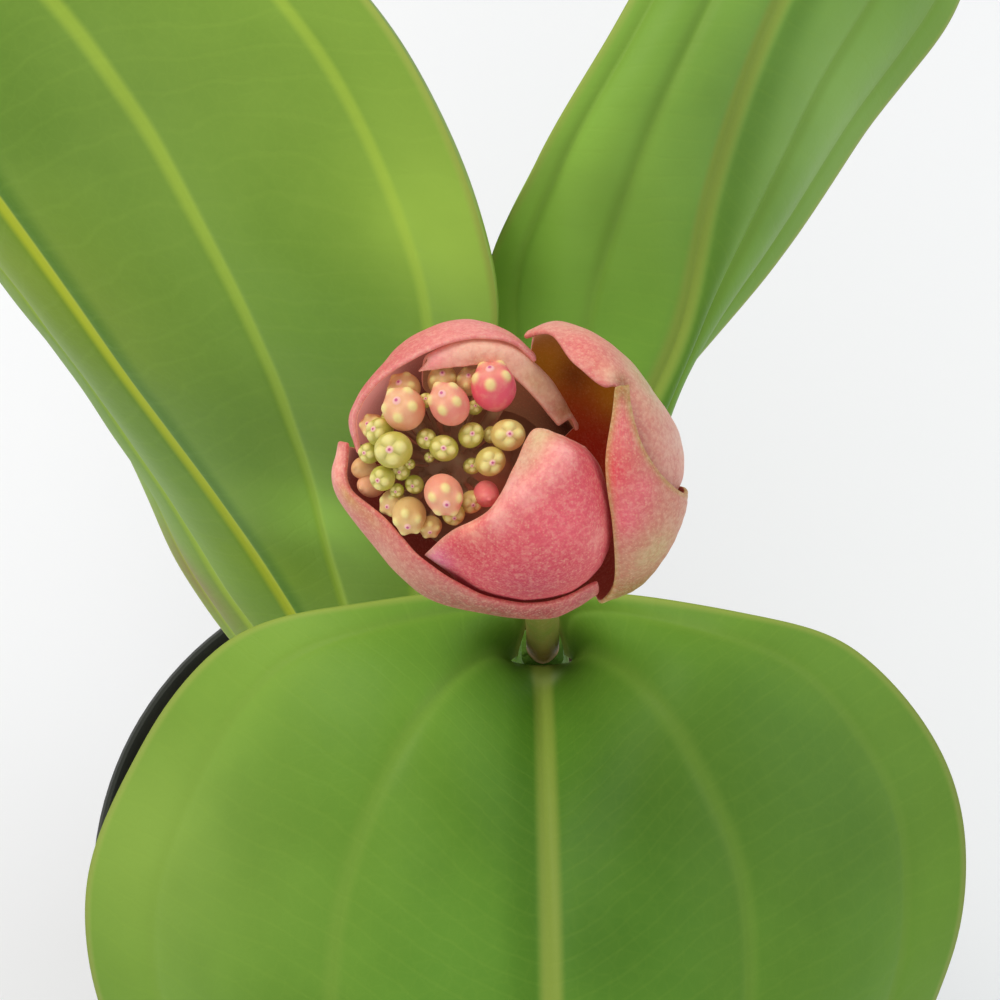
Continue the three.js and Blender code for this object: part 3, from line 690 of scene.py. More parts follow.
bracts = {
    "bractLowerLeft": {
        "node": "bract_lower_left", "slot": "bract", "base": outerBase,
        "belly": [(-19, 3, 0), (-20.2, -1.6, 1), (-14.9, -9.5, 2), (-9, -15, 2), (0, -17.2, 1),
                  (6, -17.3, 0), (11.1, -14.6, -1)],
        "upper": [
            [(-19.4, 3.4, 4.2), (-19.7, -1.2, 5.2), (-14.9, -7, 7), (-10.5, -11.9, 7.5), (-1.6, -16.3, 5),
             (5.4, -16.7, 3), (11.1, -13.8, 2)],
            [(-18.4, 3.2, 5.8), (-18.2, -2, 6.8), (-13.7, -6, 9), (-9.8, -10.3, 10), (-2, -14.9, 7.2),
             (5, -15.6, 4.8), (10.9, -13.2, 3.4)]],
        "body": "#cf7a6c", "margin": "#cf6a64", "lining": "#5e2018",
        # soft patches that paint the bract's own tones and also light and shade on it, here a lit left rim
        # and shade along the bottom: place in mm, reach, colour, strength
        "colourAndLightPatches": [
            ((-18.6, 0.6, 6), 3.4, "#ffb09e", 1.0), ((-18, -3.2, 6.6), 1.7, "#cf9850", 0.9),
            ((-15.6, -5, 8), 2.4, "#cf9462", 0.8), ((-12.4, -10.4, 5), 3, "#d99a80", 0.8),
            ((-9, -14, 3), 4, "#b38068", 0.8), ((-6, -17, -3), 6, "#98503e", 0.7),
            ((-6, -15, 4.2), 3.4, "#96604c", 0.9), ((-1, -16.4, 3.8), 3.4, "#7a3c2e", 0.9),
            ((4.2, -16.7, 2.8), 3.6, "#802e2a", 0.9), ((9, -15.4, 2.6), 3, "#a84a50", 0.8)],
        # the inside is dark as painted shade in the crevice, with a painted lit patch at the left rim
        "liningColourAndLightPatches": [((-18, 1, 3), 4.4, "#ffb4a0", 1.0)],
    },
    "bractUpperLeft": {
        "node": "bract_upper_left", "slot": "bract", "base": outerBase,
        "belly": [(-17, 3, 1), (-17.2, 6.4, 2), (-14.3, 10.9, 2), (-11, 14.5, 2), (-5.4, 16.8, 2),
                  (-0.9, 16, 1), (2.5, 13.4, 0)],
        "upper": [
            [(-16.9, 2.6, 4.4), (-17.3, 6.2, 5.5), (-14.4, 10.8, 6.5), (-10.6, 14.2, 7), (-5, 16.3, 6.5),
             (-0.5, 15.5, 5.5), (3.2, 13, 4.4)],
            [(-16.6, 1.8, 6.4), (-16.9, 6.1, 8), (-14.5, 9.6, 10.2), (-10.1, 12.5, 11.4),
             (-4.8, 14.5, 11.6), (0.4, 14.4, 10.6), (3.3, 12.2, 8.6)]],
        "body": "#dc7270", "margin": "#e58d86", "lining": "#b06a58",
        "colourAndLightPatches": [
            ((-6, 15.4, 9), 4.5, "#ec8f88", 0.9), ((-13, 11, 8), 4.5, "#d9666a", 0.8),
            ((-16.6, 5, 6), 4, "#dd6f70", 0.8), ((1.6, 14, 6), 3, "#d88a78", 0.8)],
        # inside: painted shade deep down and painted light near the left rim
        "liningColourAndLightPatches": [((-10, 8, -9), 9, "#3c140c", 0.9), ((-15.4, 8, 3), 6, "#ffb2a8", 1.0)],
    },
    "bractInner": {
        "node": "bract_inner", "slot": "inner_bract", "base": innerBase,
        "belly": [(-9.6, 9.6, 1), (-5, 11.6, 1), (-1, 11.8, 0), (4.2, 9.8, -0.5), (8.2, 5, -1)],
        "upper": [
            [(-9.2, 12.3, 8.6), (-4.8, 14.1, 8.8), (-0.6, 13.9, 8), (4, 10.8, 5.6), (8.2, 4.6, 3.4)],
            [(-8.8, 12.6, 10.1), (-4, 13.9, 10.6), (0, 13.5, 9.9), (3.4, 10.8, 8), (7.4, 5.8, 5.6)],
            [(-10, 11.3, 9.5), (-5, 11.8, 10), (-1.6, 11.9, 10), (1.4, 10, 9.2), (6, 5, 6.6)]],
        "body": "#eab298", "margin": "#e4a890", "lining": "#8e5c40",
        "colourAndLightPatches": [
            ((-9, 12, 10), 3, "#ff9ea0", 0.9), ((-3.5, 11.9, 10), 0.9, "#a0642f", 0.9),
            ((6.6, 6, 6), 3, "#ac7048", 1.0), ((2.8, 9.4, 8.6), 2.4, "#cc9e74", 0.9)],
        # inside near the right end: near black, a painted shadow in the deep gap there
        "liningColourAndLightPatches": [((7, 4.6, -4), 5.5, "#160402", 1.0)],
    },
    "bractUpperRight": {
        "node": "bract_upper_right", "slot": "bract", "base": outerBase,
        "belly": [(3.4, 16, -1), (5.9, 16.7, 0), (10.6, 15, 2), (14.2, 12, 3), (17.2, 8, 3), (19.6, 4, 3),
                  (20.1, 0, 3), (18.9, -3.6, 2.6)],
        "upper": [
            [(2.7, 15.8, 2), (5.8, 16.3, 5), (9.5, 14.2, 9.6), (12, 11.5, 11.4), (14.4, 9, 10.8),
             (16.8, 4.8, 9.8), (17.6, 0.6, 8.6), (17, -3.4, 7.6)],
            [(2.3, 15.1, 4.4), (5, 15.4, 7.4), (7.6, 12, 12.2), (11, 9.2, 13.4), (12.6, 9.2, 12.2),
             (14.2, 4.2, 11.8), (15, -0.2, 10.6), (14.6, -3.6, 9.2)]],
        "body": "#d99280", "margin": "#d9837a", "lining": "#6a300e",
        # among its own tones: a painted highlight on the lip
        "colourAndLightPatches": [
            ((8.4, 13.2, 10.6), 3, "#de7670", 0.9), ((11.2, 10.4, 13), 2.2, "#d45c58", 0.9),
            ((11.8, 10.1, 13), 1.5, "#f4c2a2", 1.0), ((12.9, 9.6, 12), 1.1, "#8d5c30", 0.9),
            ((15.8, 10, 6.4), 3.8, "#b9b47a", 0.9), ((18.6, 3.6, 5), 3.6, "#e6bca6", 0.9)],
        # inside the hollow: its own olive and red-brown tones, with painted shade deep down
        "liningColourAndLightPatches": [
            ((10.3, 3.3, -11), 7, "#801208", 0.9), ((8.2, 8, -9), 4, "#762204", 0.9),
            ((4.7, 13.3, -7), 4.4, "#95620e", 0.9), ((3.6, 15, 1), 4.6, "#c89468", 1.0),
            ((8, 11, -7), 2.2, "#4e1a06", 0.8), ((12.4, 8.8, -5), 3.4, "#94600e", 0.9),
            ((15.5, 3, 4), 5, "#7c3a14", 0.8)],
    },
    "bractLowerRight": {
        "node": "bract_lower_right", "slot": "bract", "base": outermostBase,
        "belly": [(11.4, -15.8, -2), (15.6, -14, -1.5), (19.2, -9.6, 0.6), (21, -5, 2), (21.2, -2, 1)],
        "upper": [
            [(12.6, -13.4, 3), (15.2, -11.4, 6), (18.4, -7.6, 7.4), (20.4, -4.2, 6.8), (21, -2.8, 5.4)],
            [(12.2, -6.8, 10.4), (13.8, -5.6, 11.5), (16.2, -3.9, 11.5), (18.1, -2.2, 10.5),
             (18.9, -1.6, 9.7)],
            [(11.2, 0.6, 13.6), (12.4, 0.8, 14.4), (13.9, 1.1, 14.5), (15.3, 1.6, 13.9), (15.9, 2, 13.3)],
            [(12, 6.4, 14.2), (12.6, 6.5, 14.5), (13.2, 6.6, 14.6), (13.8, 6.7, 14.5), (14.3, 6.8, 14.2)],
            [(12.3, 9.2, 14.6), (12.7, 9.3, 14.8), (13.1, 9.4, 14.9), (13.5, 9.4, 14.8),
             (13.9, 9.5, 14.6)]],
        "body": "#cd8672", "margin": "#b29a52", "lining": "#6a2018",
        "colourAndLightPatches": [
            ((12.6, 4.6, 14.4), 3, "#da6a6e", 0.9), ((12.2, -0.6, 14), 3, "#e23a50", 0.9),
            ((15.4, -2.4, 12.4), 2, "#f0747c", 0.8), ((13.4, -5.6, 11.4), 3, "#ec6274", 0.9),
            ((13, 9.4, 14.8), 1.6, "#8e6c34", 0.9), ((17.2, -9.4, 6), 3.6, "#c0ac74", 0.9),
            ((14.6, -13.4, 0), 4.4, "#8c7628", 1.0),
            ((20.6, -4.6, 4), 2.6, "#cba184", 0.8)],
    },
    "bractFront": {
        "node": "bract_front", "slot": "bract", "base": innerBase,
        "belly": [(-5.6, -13.5, 1), (-1.7, -14.8, 1), (3.4, -15.3, 1), (8.2, -14, 1), (11.2, -11.2, 2),
                  (12.4, -7.6, 2), (12.4, -4, 2)],
        "upper": [
            [(-6.6, -12, 6.6), (-2.6, -13, 9.4), (2.6, -13.1, 11.4), (7.2, -11.3, 12), (10.3, -8.2, 12),
             (11.7, -5, 10.4), (11.8, -2.2, 8)],
            [(-8.4, -10.6, 8.8), (-5, -8, 13.4), (-1, -5.4, 16.4), (3.6, -1.6, 17.8), (6.6, 1.6, 17),
             (9, 1.4, 14.6), (10.8, 0.4, 10.8)],
            [(-9.4, -9.9, 8.8), (-6.2, -7, 12.6), (-2, -4.6, 14.2), (0.9, 0.4, 14.8), (3.2, 4.6, 14.6),
             (6, 4, 14.2), (9, 2.6, 11.4)]],
        "body": "#e0525e", "margin": "#dca084", "lining": "#c96a64",
        # among its own tones: painted highlights along the ridge and painted shade on the lower flank
        "colourAndLightPatches": [
            ((3.2, 3.6, 15), 2.8, "#d4be88", 1.0), ((2, 0.8, 15.4), 2.2, "#ddb494", 1.0),
            ((0.6, -2.4, 15), 2, "#f6b6b0", 0.9), ((6.6, 2, 17), 1.8, "#ffaca6", 0.9),
            ((5, -0.8, 17.4), 1.6, "#fbaaa4", 0.9), ((2.4, -2.8, 17.2), 1.7, "#fdb2aa", 0.9),
            ((-0.9, -5, 16), 1.8, "#ffb4a8", 0.9), ((-3.9, -7, 14.2), 1.6, "#f8a48c", 0.9),
            ((6.6, -6.2, 16), 4, "#f46a78", 0.8), ((10.6, -8, 12), 2, "#ee8a82", 0.7),
            ((2.8, -12.7, 9), 5, "#ae2e4c", 0.8), ((-8.6, -10, 9), 2.4, "#ff9cc0", 1.0),
            ((-3.8, -9.2, 12.6), 2.4, "#d23c4a", 0.8)],
    },
}


# which attribute colours each side, how strongly it is speckled, and the strength of a painted glow that
# stands in for light coming through
bractFinishes = {
    "bractOutside": ("tint", 0.3, 0.03),
    "bractSheltered": ("tint", 0.25, 0.1),
    "bractInside": ("lining", 0.08, 0.4),
}


def bractFinish(name, source, speckle, paintedGlow):
    paint = Paint(name, Roughness=0.5, Subsurface_Weight=0.14, Subsurface_Scale=0.001,
                  Subsurface_Radius=(1.0, 0.4, 0.28), Specular_IOR_Level=0.35, Emission_Strength=paintedGlow)
    patches = paint.cloud(300, 4)
    grain = paint.cloud(1600, 3)
    plain = paint.attribute(source, "Color")
    body = paint.mix(paint.step(patches, 0.4, 0.7) * speckle * 0.7, plain, "#c23a48")
    body = paint.mix(paint.fade(grain, 0.36, 0.54) * speckle * 0.7, body, "#c83c4c")
    body = paint.mix(paint.step(grain, 0.48, 0.66) * speckle * 0.6, body, "#f4ccb0")
    size = paint.split(paint.cells(2900, output="Color"), "X")
    dots = paint.fade(paint.cells(2900) + size * 0.3, 0.16, 0.55) * (0.35 + patches)
    fine = paint.step(paint.cloud(3400, 2), 0.42, 0.75)
    body = paint.mix(dots * speckle, body, "#f6cfa4")
    body = paint.mix(fine * speckle * 0.7, body, "#f2c29c")
    low = paint.bump(patches, 0.0003, 0.5)
    return paint.cover(Base_Color=body, Emission_Color=plain,
                       Roughness=0.48 + 0.16 * patches - 0.1 * dots,
                       Normal=paint.bump(dots * 0.5 + grain * 0.6, 0.00005, 0.8, low))


def addBract(name, bract, finishes):
    columns, rowCount = bractShape["columns"], bractShape["rows"]
    flat = sheetPoints(bractRows(bract), columns, rowCount)
    shaped = []
    for i in range(columns + 1):
        line = []
        for j in range(rowCount + 1):
            fade = min(1, j / bractShape["smoothRows"])
            rise = bractShape["ripple"] * fade * noise.noise(flat[i][j] * bractShape["rippleScale"])
            veins = math.sin(i / columns * 2 * math.pi * bractShape["veinCount"])
            rise += bractShape["veinRelief"] * fade * veins
            line.append(flat[i][j] + sheetNormal(flat, i, j) * rise * mm)
        shaped.append(line)
    piece, cells = addSheet(name, shaped)
    tints, linings = [], []
    thick = piece.vertex_groups.new(name="thick")
    margin, stalkEnd = (Vector(colour(code)[:3]) for code in (bract["margin"], bractShape["stalkEnd"]))
    for index, (i, j) in enumerate(cells):
        point = shaped[i][j] / mm
        ends = (shaped[i][rowCount], shaped[0][j], shaped[columns][j])
        toEdge = min((shaped[i][j] - end).length for end in ends) / mm
        base = bractShape["stalkTint"] * max(0, 1 - j / rowCount * bractShape["stalkReach"])
        tone = shadedTone(bract["body"], bract["colourAndLightPatches"], point)
        tone = tone.lerp(margin, bractShape["marginTint"] * hump(toEdge, 0, bractShape["marginWidth"]))
        tints.append((*tone.lerp(stalkEnd, base), 1))
        linings.append((*shadedTone(bract["lining"], bract.get("liningColourAndLightPatches", []), point), 1))
        thick.add([index], min(1, toEdge / bractShape["edgeReach"]), "REPLACE")
    addAttribute(piece, "tint", "FLOAT_COLOR", tints)
    addAttribute(piece, "lining", "FLOAT_COLOR", linings)
    piece.data.transform(budFrame)
    middle = flat[columns // 2][rowCount // 2]
    facesOut = sheetNormal(flat, columns // 2, rowCount // 2).dot(Vector((middle.x, middle.y, 0))) > 0
    for finish in finishes if facesOut else finishes[::-1]:
        piece.data.materials.append(finish)
    applyModifier(piece, "thickness", "SOLIDIFY", thickness=bractShape["thickness"] * mm, offset=-1,
                  vertex_group="thick", material_offset=1, material_offset_rim=0 if facesOut else 1,
                  thickness_vertex_group=bractShape["edgeThickness"] / bractShape["thickness"])
    applyModifier(piece, "rounding", "SUBSURF", levels=1, render_levels=1)
    finishPiece(piece, bract["node"])


outside, sheltered, inside = (bractFinish(name, *values) for name, values in bractFinishes.items())
for name, bract in bracts.items():
    addBract(name, bract, [sheltered if bract["slot"] == "inner_bract" else outside, inside])


# flower buds, in the bud's frame
headShape = {
    "segments": 40,
    "rings": 24,
    "core": (7.4, 5.6, 7.2),
    "coreCentre": (-6.4, 0.4, -3.4),
    # the cup under the core: its axis and the radius at either end
    "cupPath": [(0, -5, -15.6), (-0.6, -4, -11), (-3, -1, -4.5)],
    "cupRadii": (3.6, 9.2),
    "cupRings": 12,
    "cupSides": 36,
    "coreLumps": 0.12,
    # each bud's tip: height of its point and depth of the ring round it, with their widths in degrees
    "point": (0.07, 9),
    "ringAt": 17,
    "ring": (0.04, 7),
    "footTaper": 0.25,  # how much narrower a bud is at its foot
    "petalTaper": 0.3,  # and a closed petal at its tip
    "uneven": (0.93, 1.06),
    # each bud's own stalk, against the bud's radius
    "stalkRadius": 0.3,
    "stalkFlare": 0.18,
    "stalkRings": 8,
    "stalkSides": 10,
}

# lobes round the tip: how many, degrees from the tip, degrees wide, height, depth of the grooves between
budModels = {
    "ripe": {"lobes": 5, "place": 45, "width": 15, "height": 0.17, "groove": 0, "length": 1.22},
    "green": {"lobes": 4, "place": 34, "width": 19, "height": 0.16, "groove": 0.05, "length": 1.02},
    "petal": {"lobes": 0, "place": 50, "width": 13, "height": 0, "groove": 0, "length": 1.7},
}
grooveWidth = 15  # degrees

# middle, radius, lean of the tip to the right and back, tone from green (0) to pink (1), model
flowerBuds = [
    (-1.3, 9.2, 10.4, 2.5, -0.2, 1, 1, "ripe"), (-6.3, 7.3, 11.5, 2.4, -0.35, 0.5, 0.8, "ripe"),
    (-11.5, 6.8, 10.5, 2.4, -0.33, 0.4, 0.62, "ripe"), (-7.2, 10.2, 7.4, 1.8, 0, 0.4, 0.42, "ripe"),
    (-4.2, 10, 7.6, 1.6, 0, 0.4, 0.5, "ripe"), (-11.6, 9.2, 7.4, 1.9, -0.3, 0.4, 0.5, "ripe"),
    (-15.1, 4.9, 6.2, 1.6, -0.4, 0.2, 0.45, "ripe"), (-14.3, 4.3, 9, 1.6, -0.5, 0.2, 0.1, "green"),
    (-12.7, 2.2, 11.5, 2.1, -0.17, 0, 0.18, "green"), (-15.6, 1.9, 7.4, 1.2, -0.5, 0, 0.08, "green"),
    (-14, -1, 9.4, 1.5, -0.4, -0.2, 0.08, "green"), (-11.9, -0.2, 8.5, 1.1, -0.2, -0.1, 0.05, "green"),
    (-10.4, -1.7, 8.5, 1.1, -0.2, -0.2, 0.05, "green"), (-9, 3.5, 9.5, 1.2, 0, 0, 0.1, "green"),
    (-7, 2.4, 10.5, 1.6, 0, 0, 0.12, "green"), (-3.9, 3.9, 10, 1.5, 0.1, 0.1, 0.2, "green"),
    (-1.6, 4, 8.5, 1, 0.2, 0.1, 0.25, "green"), (0.3, 3.9, 10.9, 1.9, 0.1, 0.05, 0.34, "green"),
    (-1.7, 0.9, 11, 1.7, 0.15, -0.1, 0.28, "green"), (-3.8, 0.4, 9, 1, 0, 0, 0.2, "green"),
    (-7, -2.8, 12, 2.3, 0.15, -0.45, 0.72, "ripe"), (-11, -5.1, 9, 2, -0.05, -0.7, 0.42, "ripe"),
    (-12.9, -3.8, 7.2, 1.5, -0.4, -0.3, 0.42, "ripe"), (-15.4, -1.7, 4.4, 1.6, -0.6, -0.2, 0.6, "petal"),
    (-16.3, 0.2, 4.6, 1.4, -0.6, 0, 0.5, "petal"), (-5.9, -5.1, 10, 1.3, 0.1, -0.4, 0.26, "green"),
    (-3.9, -3.7, 9, 1.3, 0.2, -0.3, 0.36, "green"), (-8.6, -6.5, 8, 1.3, 0, -0.5, 0.4, "ripe"),
    (-9.1, 7.9, 9, 0.9, 0, 0.2, 0.15, "green"), (-3.5, 7.1, 8.5, 0.9, 0.1, 0.2, 0.2, "green"),
    (-2.2, -2.8, 9.4, 1.5, 0.2, -0.3, 0.95, "petal"), (-12.4, -2.4, 8.6, 0.8, -0.2, -0.2, 0.05, "green"),
    (-10.9, 0.6, 8.9, 0.6, -0.1, 0, 0.1, "green"), (-11.9, 5.2, 8.4, 0.8, -0.2, 0.2, 0.15, "green"),
    (-13.4, 5.9, 7.6, 0.9, -0.3, 0.2, 0.1, "green"), (-8.7, 1.4, 8.9, 0.6, 0, 0, 0.15, "green"),
]


def addBudModel(kind):
    # one bud of radius 1 with its tip up: a ball with lobes and grooves round a small tip
    shape = budModels[kind]
    selectNothing()
    bpy.ops.mesh.primitive_uv_sphere_add(segments=headShape["segments"], ring_count=headShape["rings"],
                                         radius=1)
    model = bpy.context.object
    model.name = kind + "Bud"
    turns = [2 * math.pi * k / shape["lobes"] for k in range(shape["lobes"])]
    tilt = math.radians(shape["place"])
    lobes = [Vector((math.sin(tilt) * math.cos(turn), math.sin(tilt) * math.sin(turn), math.cos(tilt)))
             for turn in turns]
    (point, pointWidth), (ring, ringWidth) = headShape["point"], headShape["ring"]
    caps, knobs, grooves = [], [], []
    for vertex in model.data.vertices:
        direction = vertex.co.normalized()
        polar = math.degrees(direction.angle(Vector((0, 0, 1))))
        turn = math.atan2(direction.y, direction.x)
        away = [math.degrees(direction.angle(lobe)) for lobe in lobes]
        knob = max((hump(degrees, 0, shape["width"]) for degrees in away), default=0)
        between = 0.5 - 0.5 * math.cos(turn * shape["lobes"])
        groove = between ** 8 * hump(polar, shape["place"] * 0.8, grooveWidth)
        tip = point * hump(polar, 0, pointWidth) - ring * hump(polar, headShape["ringAt"], ringWidth)
        radius = 1 + shape["height"] * knob - shape["groove"] * groove + tip
        vertex.co = direction * radius
        vertex.co.z *= shape["length"]
        if vertex.co.z < 0:
            taper = 1 - headShape["footTaper"] * min(1, -vertex.co.z) ** 2
            vertex.co.x *= taper
            vertex.co.y *= taper
        elif kind == "petal":
            vertex.co.x *= 1 - headShape["petalTaper"] * min(1, vertex.co.z / shape["length"])
        caps.append(polar / 180 if shape["lobes"] else 0.3)
        knobs.append(knob)
        grooves.append(groove if shape["groove"] else 0)
    addAttribute(model, "cap", "FLOAT", caps)
    addAttribute(model, "knob", "FLOAT", knobs)
    addAttribute(model, "groove", "FLOAT", grooves)
    addAttribute(model, "tone", "FLOAT", [0.0] * len(caps))
    return model


def addTube(name, path, radiusAt, rings, sides):
    # a cylinder primitive cut into rings, which are then set along the path
    selectNothing()
    bpy.ops.mesh.primitive_cylinder_add(vertices=sides, radius=1, depth=1)
    tube = bpy.context.object
    tube.name = name
    clearSelection(tube)
    for edge in tube.data.edges:
        a, b = (tube.data.vertices[k].co for k in edge.vertices)
        edge.select = abs(a.z - b.z) > 0.5
    editMode("EDGE")
    bpy.ops.mesh.subdivide(number_cuts=rings - 1)
    bpy.ops.object.mode_set(mode="OBJECT")
    path = [Vector(point) for point in path]
    for vertex in tube.data.vertices:
        share = min(1, max(0, vertex.co.z + 0.5))
        angle = math.atan2(vertex.co.y, vertex.co.x)
        here = curvePoint(path, share)
        run = (curvePoint(path, min(1, share + 0.01)) - curvePoint(path, max(0, share - 0.01))).normalized()
        side = run.cross(Vector((0, 1, 0))).normalized()
        other = run.cross(side)
        radius = radiusAt(share, angle, here)
        vertex.co = (here - side * math.cos(angle) * radius + other * math.sin(angle) * radius) * mm
    return tube


def budFinish():
    # with a faint painted glow, standing in for light that comes through the buds
    paint = Paint("flowerBud", Roughness=0.45, Subsurface_Weight=0.15, Subsurface_Scale=0.0008,
                  Subsurface_Radius=(1.0, 0.6, 0.3), Specular_IOR_Level=0.4, Emission_Strength=0.07)
    tone, cap, knob, groove = (paint.attribute(name) for name in ("tone", "cap", "knob", "groove"))
    grain = paint.cloud(900, 3)
    body = paint.node("ShaderNodeValToRGB", {"stops": [
        (0.0, "#a8a836"), (0.2, "#bab24a"), (0.4, "#d6b06c"), (0.62, "#e39d78"), (0.8, "#e68878"),
        (1.0, "#e25a6a")]}, {0: tone})
    body = paint.mix(paint.fade(cap, 0.05, 0.4) * 0.3, body, "#e6c88c")
    body = paint.mix(paint.step(grain, 0.4, 0.75) * 0.2, body, "#eed29c")
    body = paint.mix(paint.step(cap, 0.5, 0.9) * 0.5, body, "#9a6040")
    body = paint.mix(paint.step(knob, 0.15, 0.8) * 0.75, body, "#e9de8e")
    body = paint.mix(paint.step(groove, 0.3, 1.0) * 0.3, body, "#7c7a2c")
    body = paint.mix(paint.fade(cap, 0.045, 0.08) * 0.85, body, "#efb8b4")
    body = paint.mix(paint.fade(cap, 0.014, 0.036) * 0.9, body, "#b8397a")
    return paint.cover(Base_Color=body, Emission_Color=body, Roughness=0.4 + 0.2 * grain,
                       Normal=paint.bump(grain, 0.00008, 0.7))


def stubFinish():
    # with a faint painted glow
    paint = Paint("flowerAxis", Roughness=0.6, Subsurface_Weight=0.15, Subsurface_Scale=0.001,
                  Emission_Strength=0.05)
    patches = paint.cloud(350, 4)
    body = paint.mix(patches, "#8e5c48", "#bd9870")
    return paint.cover(Base_Color=body, Emission_Color=body,
                       Normal=paint.bump(patches, 0.0003, 0.6))


def addHead():
    chance = random.Random(5)
    finish, stub = budFinish(), stubFinish()
    models = {kind: addBudModel(kind) for kind in budModels}
    for model in models.values():
        model.data.materials.append(finish)
    centre = Vector(headShape["coreCentre"])
    parts = []
    for x, y, z, radius, leanX, leanY, tone, kind in flowerBuds:
        bud = copyOf(models[kind])
        middle = Vector((x, y, z))
        lean = Vector((leanX, leanY, 1)).normalized()
        turn = lean.to_track_quat("Z", "Y").to_matrix().to_4x4()
        spin = Matrix.Rotation(chance.uniform(0, 2 * math.pi), 4, "Z")
        bud.data.attributes["tone"].data.foreach_set("value", [tone] * len(bud.data.vertices))
        sizes = [radius * mm * chance.uniform(*headShape["uneven"]) for _ in range(3)]
        uneven = Matrix.Diagonal(sizes).to_4x4()
        bud.data.transform(Matrix.Translation(middle * mm) @ turn @ spin @ uneven)
        parts.append(bud)
        foot = middle - lean * radius * 1.05
        root = foot.lerp(centre, 0.8)
        bend = foot.lerp(root, 0.4) - lean * radius * 0.3
        thin, flare = radius * headShape["stalkRadius"], radius * headShape["stalkFlare"]
        stalk = addTube("pedicel", [foot + lean * radius * 0.3, foot, bend, root],
                        lambda share, angle, here: thin + flare * (1 - share) ** 3,
                        headShape["stalkRings"], headShape["stalkSides"])
        stalk.data.materials.append(stub)
        parts.append(stalk)
    for model in models.values():
        bpy.data.objects.remove(model)

    low, high = headShape["cupRadii"]
    cup = addTube("cup", headShape["cupPath"],
                  lambda share, angle, here: low + (high - low) * share,
                  headShape["cupRings"], headShape["cupSides"])
    cup.data.materials.append(stub)
    parts.append(cup)
    selectNothing()
    bpy.ops.mesh.primitive_ico_sphere_add(subdivisions=4, radius=1)
    core = bpy.context.object
    core.data.materials.append(stub)
    for vertex in core.data.vertices:
        lumps = 1 + headShape["coreLumps"] * noise.noise(vertex.co * 3)
        vertex.co = Vector(a * b * lumps for a, b in zip(vertex.co, headShape["core"]))
        vertex.co = (vertex.co + centre) * mm
    parts.append(core)
    head = joinPieces(parts, "flowerHead")
    head.data.transform(budFrame)
    finishPiece(head, "flower_buds")


addHead()


# stem and flower stalk
stemShape = {
    "path": [(0, 0, 75.3), (0, 0, 104), (1.6, 0.3, 147), (9.5, 1.4, 196), (17.2, 2.5, 243),
             (23.5, 3.3, 285), (23.8, 3.4, 288.4)],
    "radius": 4.4,
    "topRadius": 3.5,
    "nodes": [(1.6, 0.3, 147), (23.5, 3.3, 285)],
    "swelling": 1.35,
    "swellingWidth": 3.5,
    "swellingDrop": 3,
    "wingDepth": 0.16,
    "barkRelief": 0.05,
    "rings": 150,
    "sides": 48,
    "greenFrom": (0.277, 0.286),  # heights in m over which the bark turns leaf green
    "bristles": 34,
    "bristleCircle": 4.6,
    "bristleDrop": 2.4,
    "bristleRadii": (0.22, 0.03),
    "bristleLength": (1.0, 1.7),
}

stalkShape = {
    "path": [(23.8, 3.4, 288.7), (23.4, 3.8, 306), (21.4, 4.6, 328), (18.6, 5, 346), (18.2, 4.6, 353),
             (18.2, 2.6, 359.5)],
    "radius": 2.3,
    "topRadius": 2.7,
    "swellFrom": 0.5,
    "swellOver": 0.3,
    "ridge": 0.03,
    "rings": 70,
    "sides": 28,
    "brownUpTo": (0.292, 0.301),  # heights in m over which the brown foot ends
}


def stemRadiusAt(share, angle, here):
    height = here.z / stemShape["path"][-1][2]
    plain = stemShape["radius"] + (stemShape["topRadius"] - stemShape["radius"]) * height
    wings = 1 - stemShape["wingDepth"] * (0.5 - 0.5 * math.cos(4 * (angle - math.pi / 4)))
    drop, width = stemShape["swellingDrop"], stemShape["swellingWidth"]
    swell = min(1, sum(hump(here.z - node[2] + drop, 0, width) for node in stemShape["nodes"]))
    bark = noise.noise(Vector((math.cos(angle) * 3, math.sin(angle) * 3, here.z * 0.12)))
    return plain * (wings + (stemShape["swelling"] - wings) * swell + stemShape["barkRelief"] * bark)


def stemFinish():
    paint = Paint("stemBark", Roughness=0.7, Specular_IOR_Level=0.2)
    patches = paint.cloud(120, 4)
    stretched = paint.node("ShaderNodeMapping", {}, {"Vector": paint.place(), "Scale": (1, 1, 0.12)})
    strands = paint.cloud(900, 3, stretched)
    corky = paint.fade(paint.cells(500), 0.1, 0.35)
    body = paint.mix(paint.step(patches, 0.3, 0.7), "#667430", "#7d6a38")
    body = paint.mix(strands * 0.5, body, "#a58a5c")
    body = paint.mix(corky * 0.35, body, "#c0a578")
    height = paint.split(paint.place(), "Z")
    body = paint.mix(paint.step(height, *stemShape["greenFrom"]), body, "#4a6c1a")
    return paint.cover(Base_Color=body, Roughness=0.6 + 0.25 * patches,
                       Normal=paint.bump(strands + corky * 0.5, 0.0006, 0.8))


def stalkFinish():
    paint = Paint("stalkSkin", Roughness=0.5, Subsurface_Weight=0.1, Subsurface_Scale=0.001)
    patches = paint.cloud(180, 4)
    body = paint.mix(paint.step(patches, 0.3, 0.7), "#87913a", "#a08f4a")
    body = paint.mix(paint.fade(paint.cells(900), 0.08, 0.28) * 0.3, body, "#b8aa70")
    height = paint.split(paint.place(), "Z")
    body = paint.mix(paint.fade(height, *stalkShape["brownUpTo"]) * 0.75, body, "#94683c")
    return paint.cover(Base_Color=body, Roughness=0.5 + 0.2 * patches,
                       Normal=paint.bump(paint.cloud(900, 3), 0.0003, 0.6))


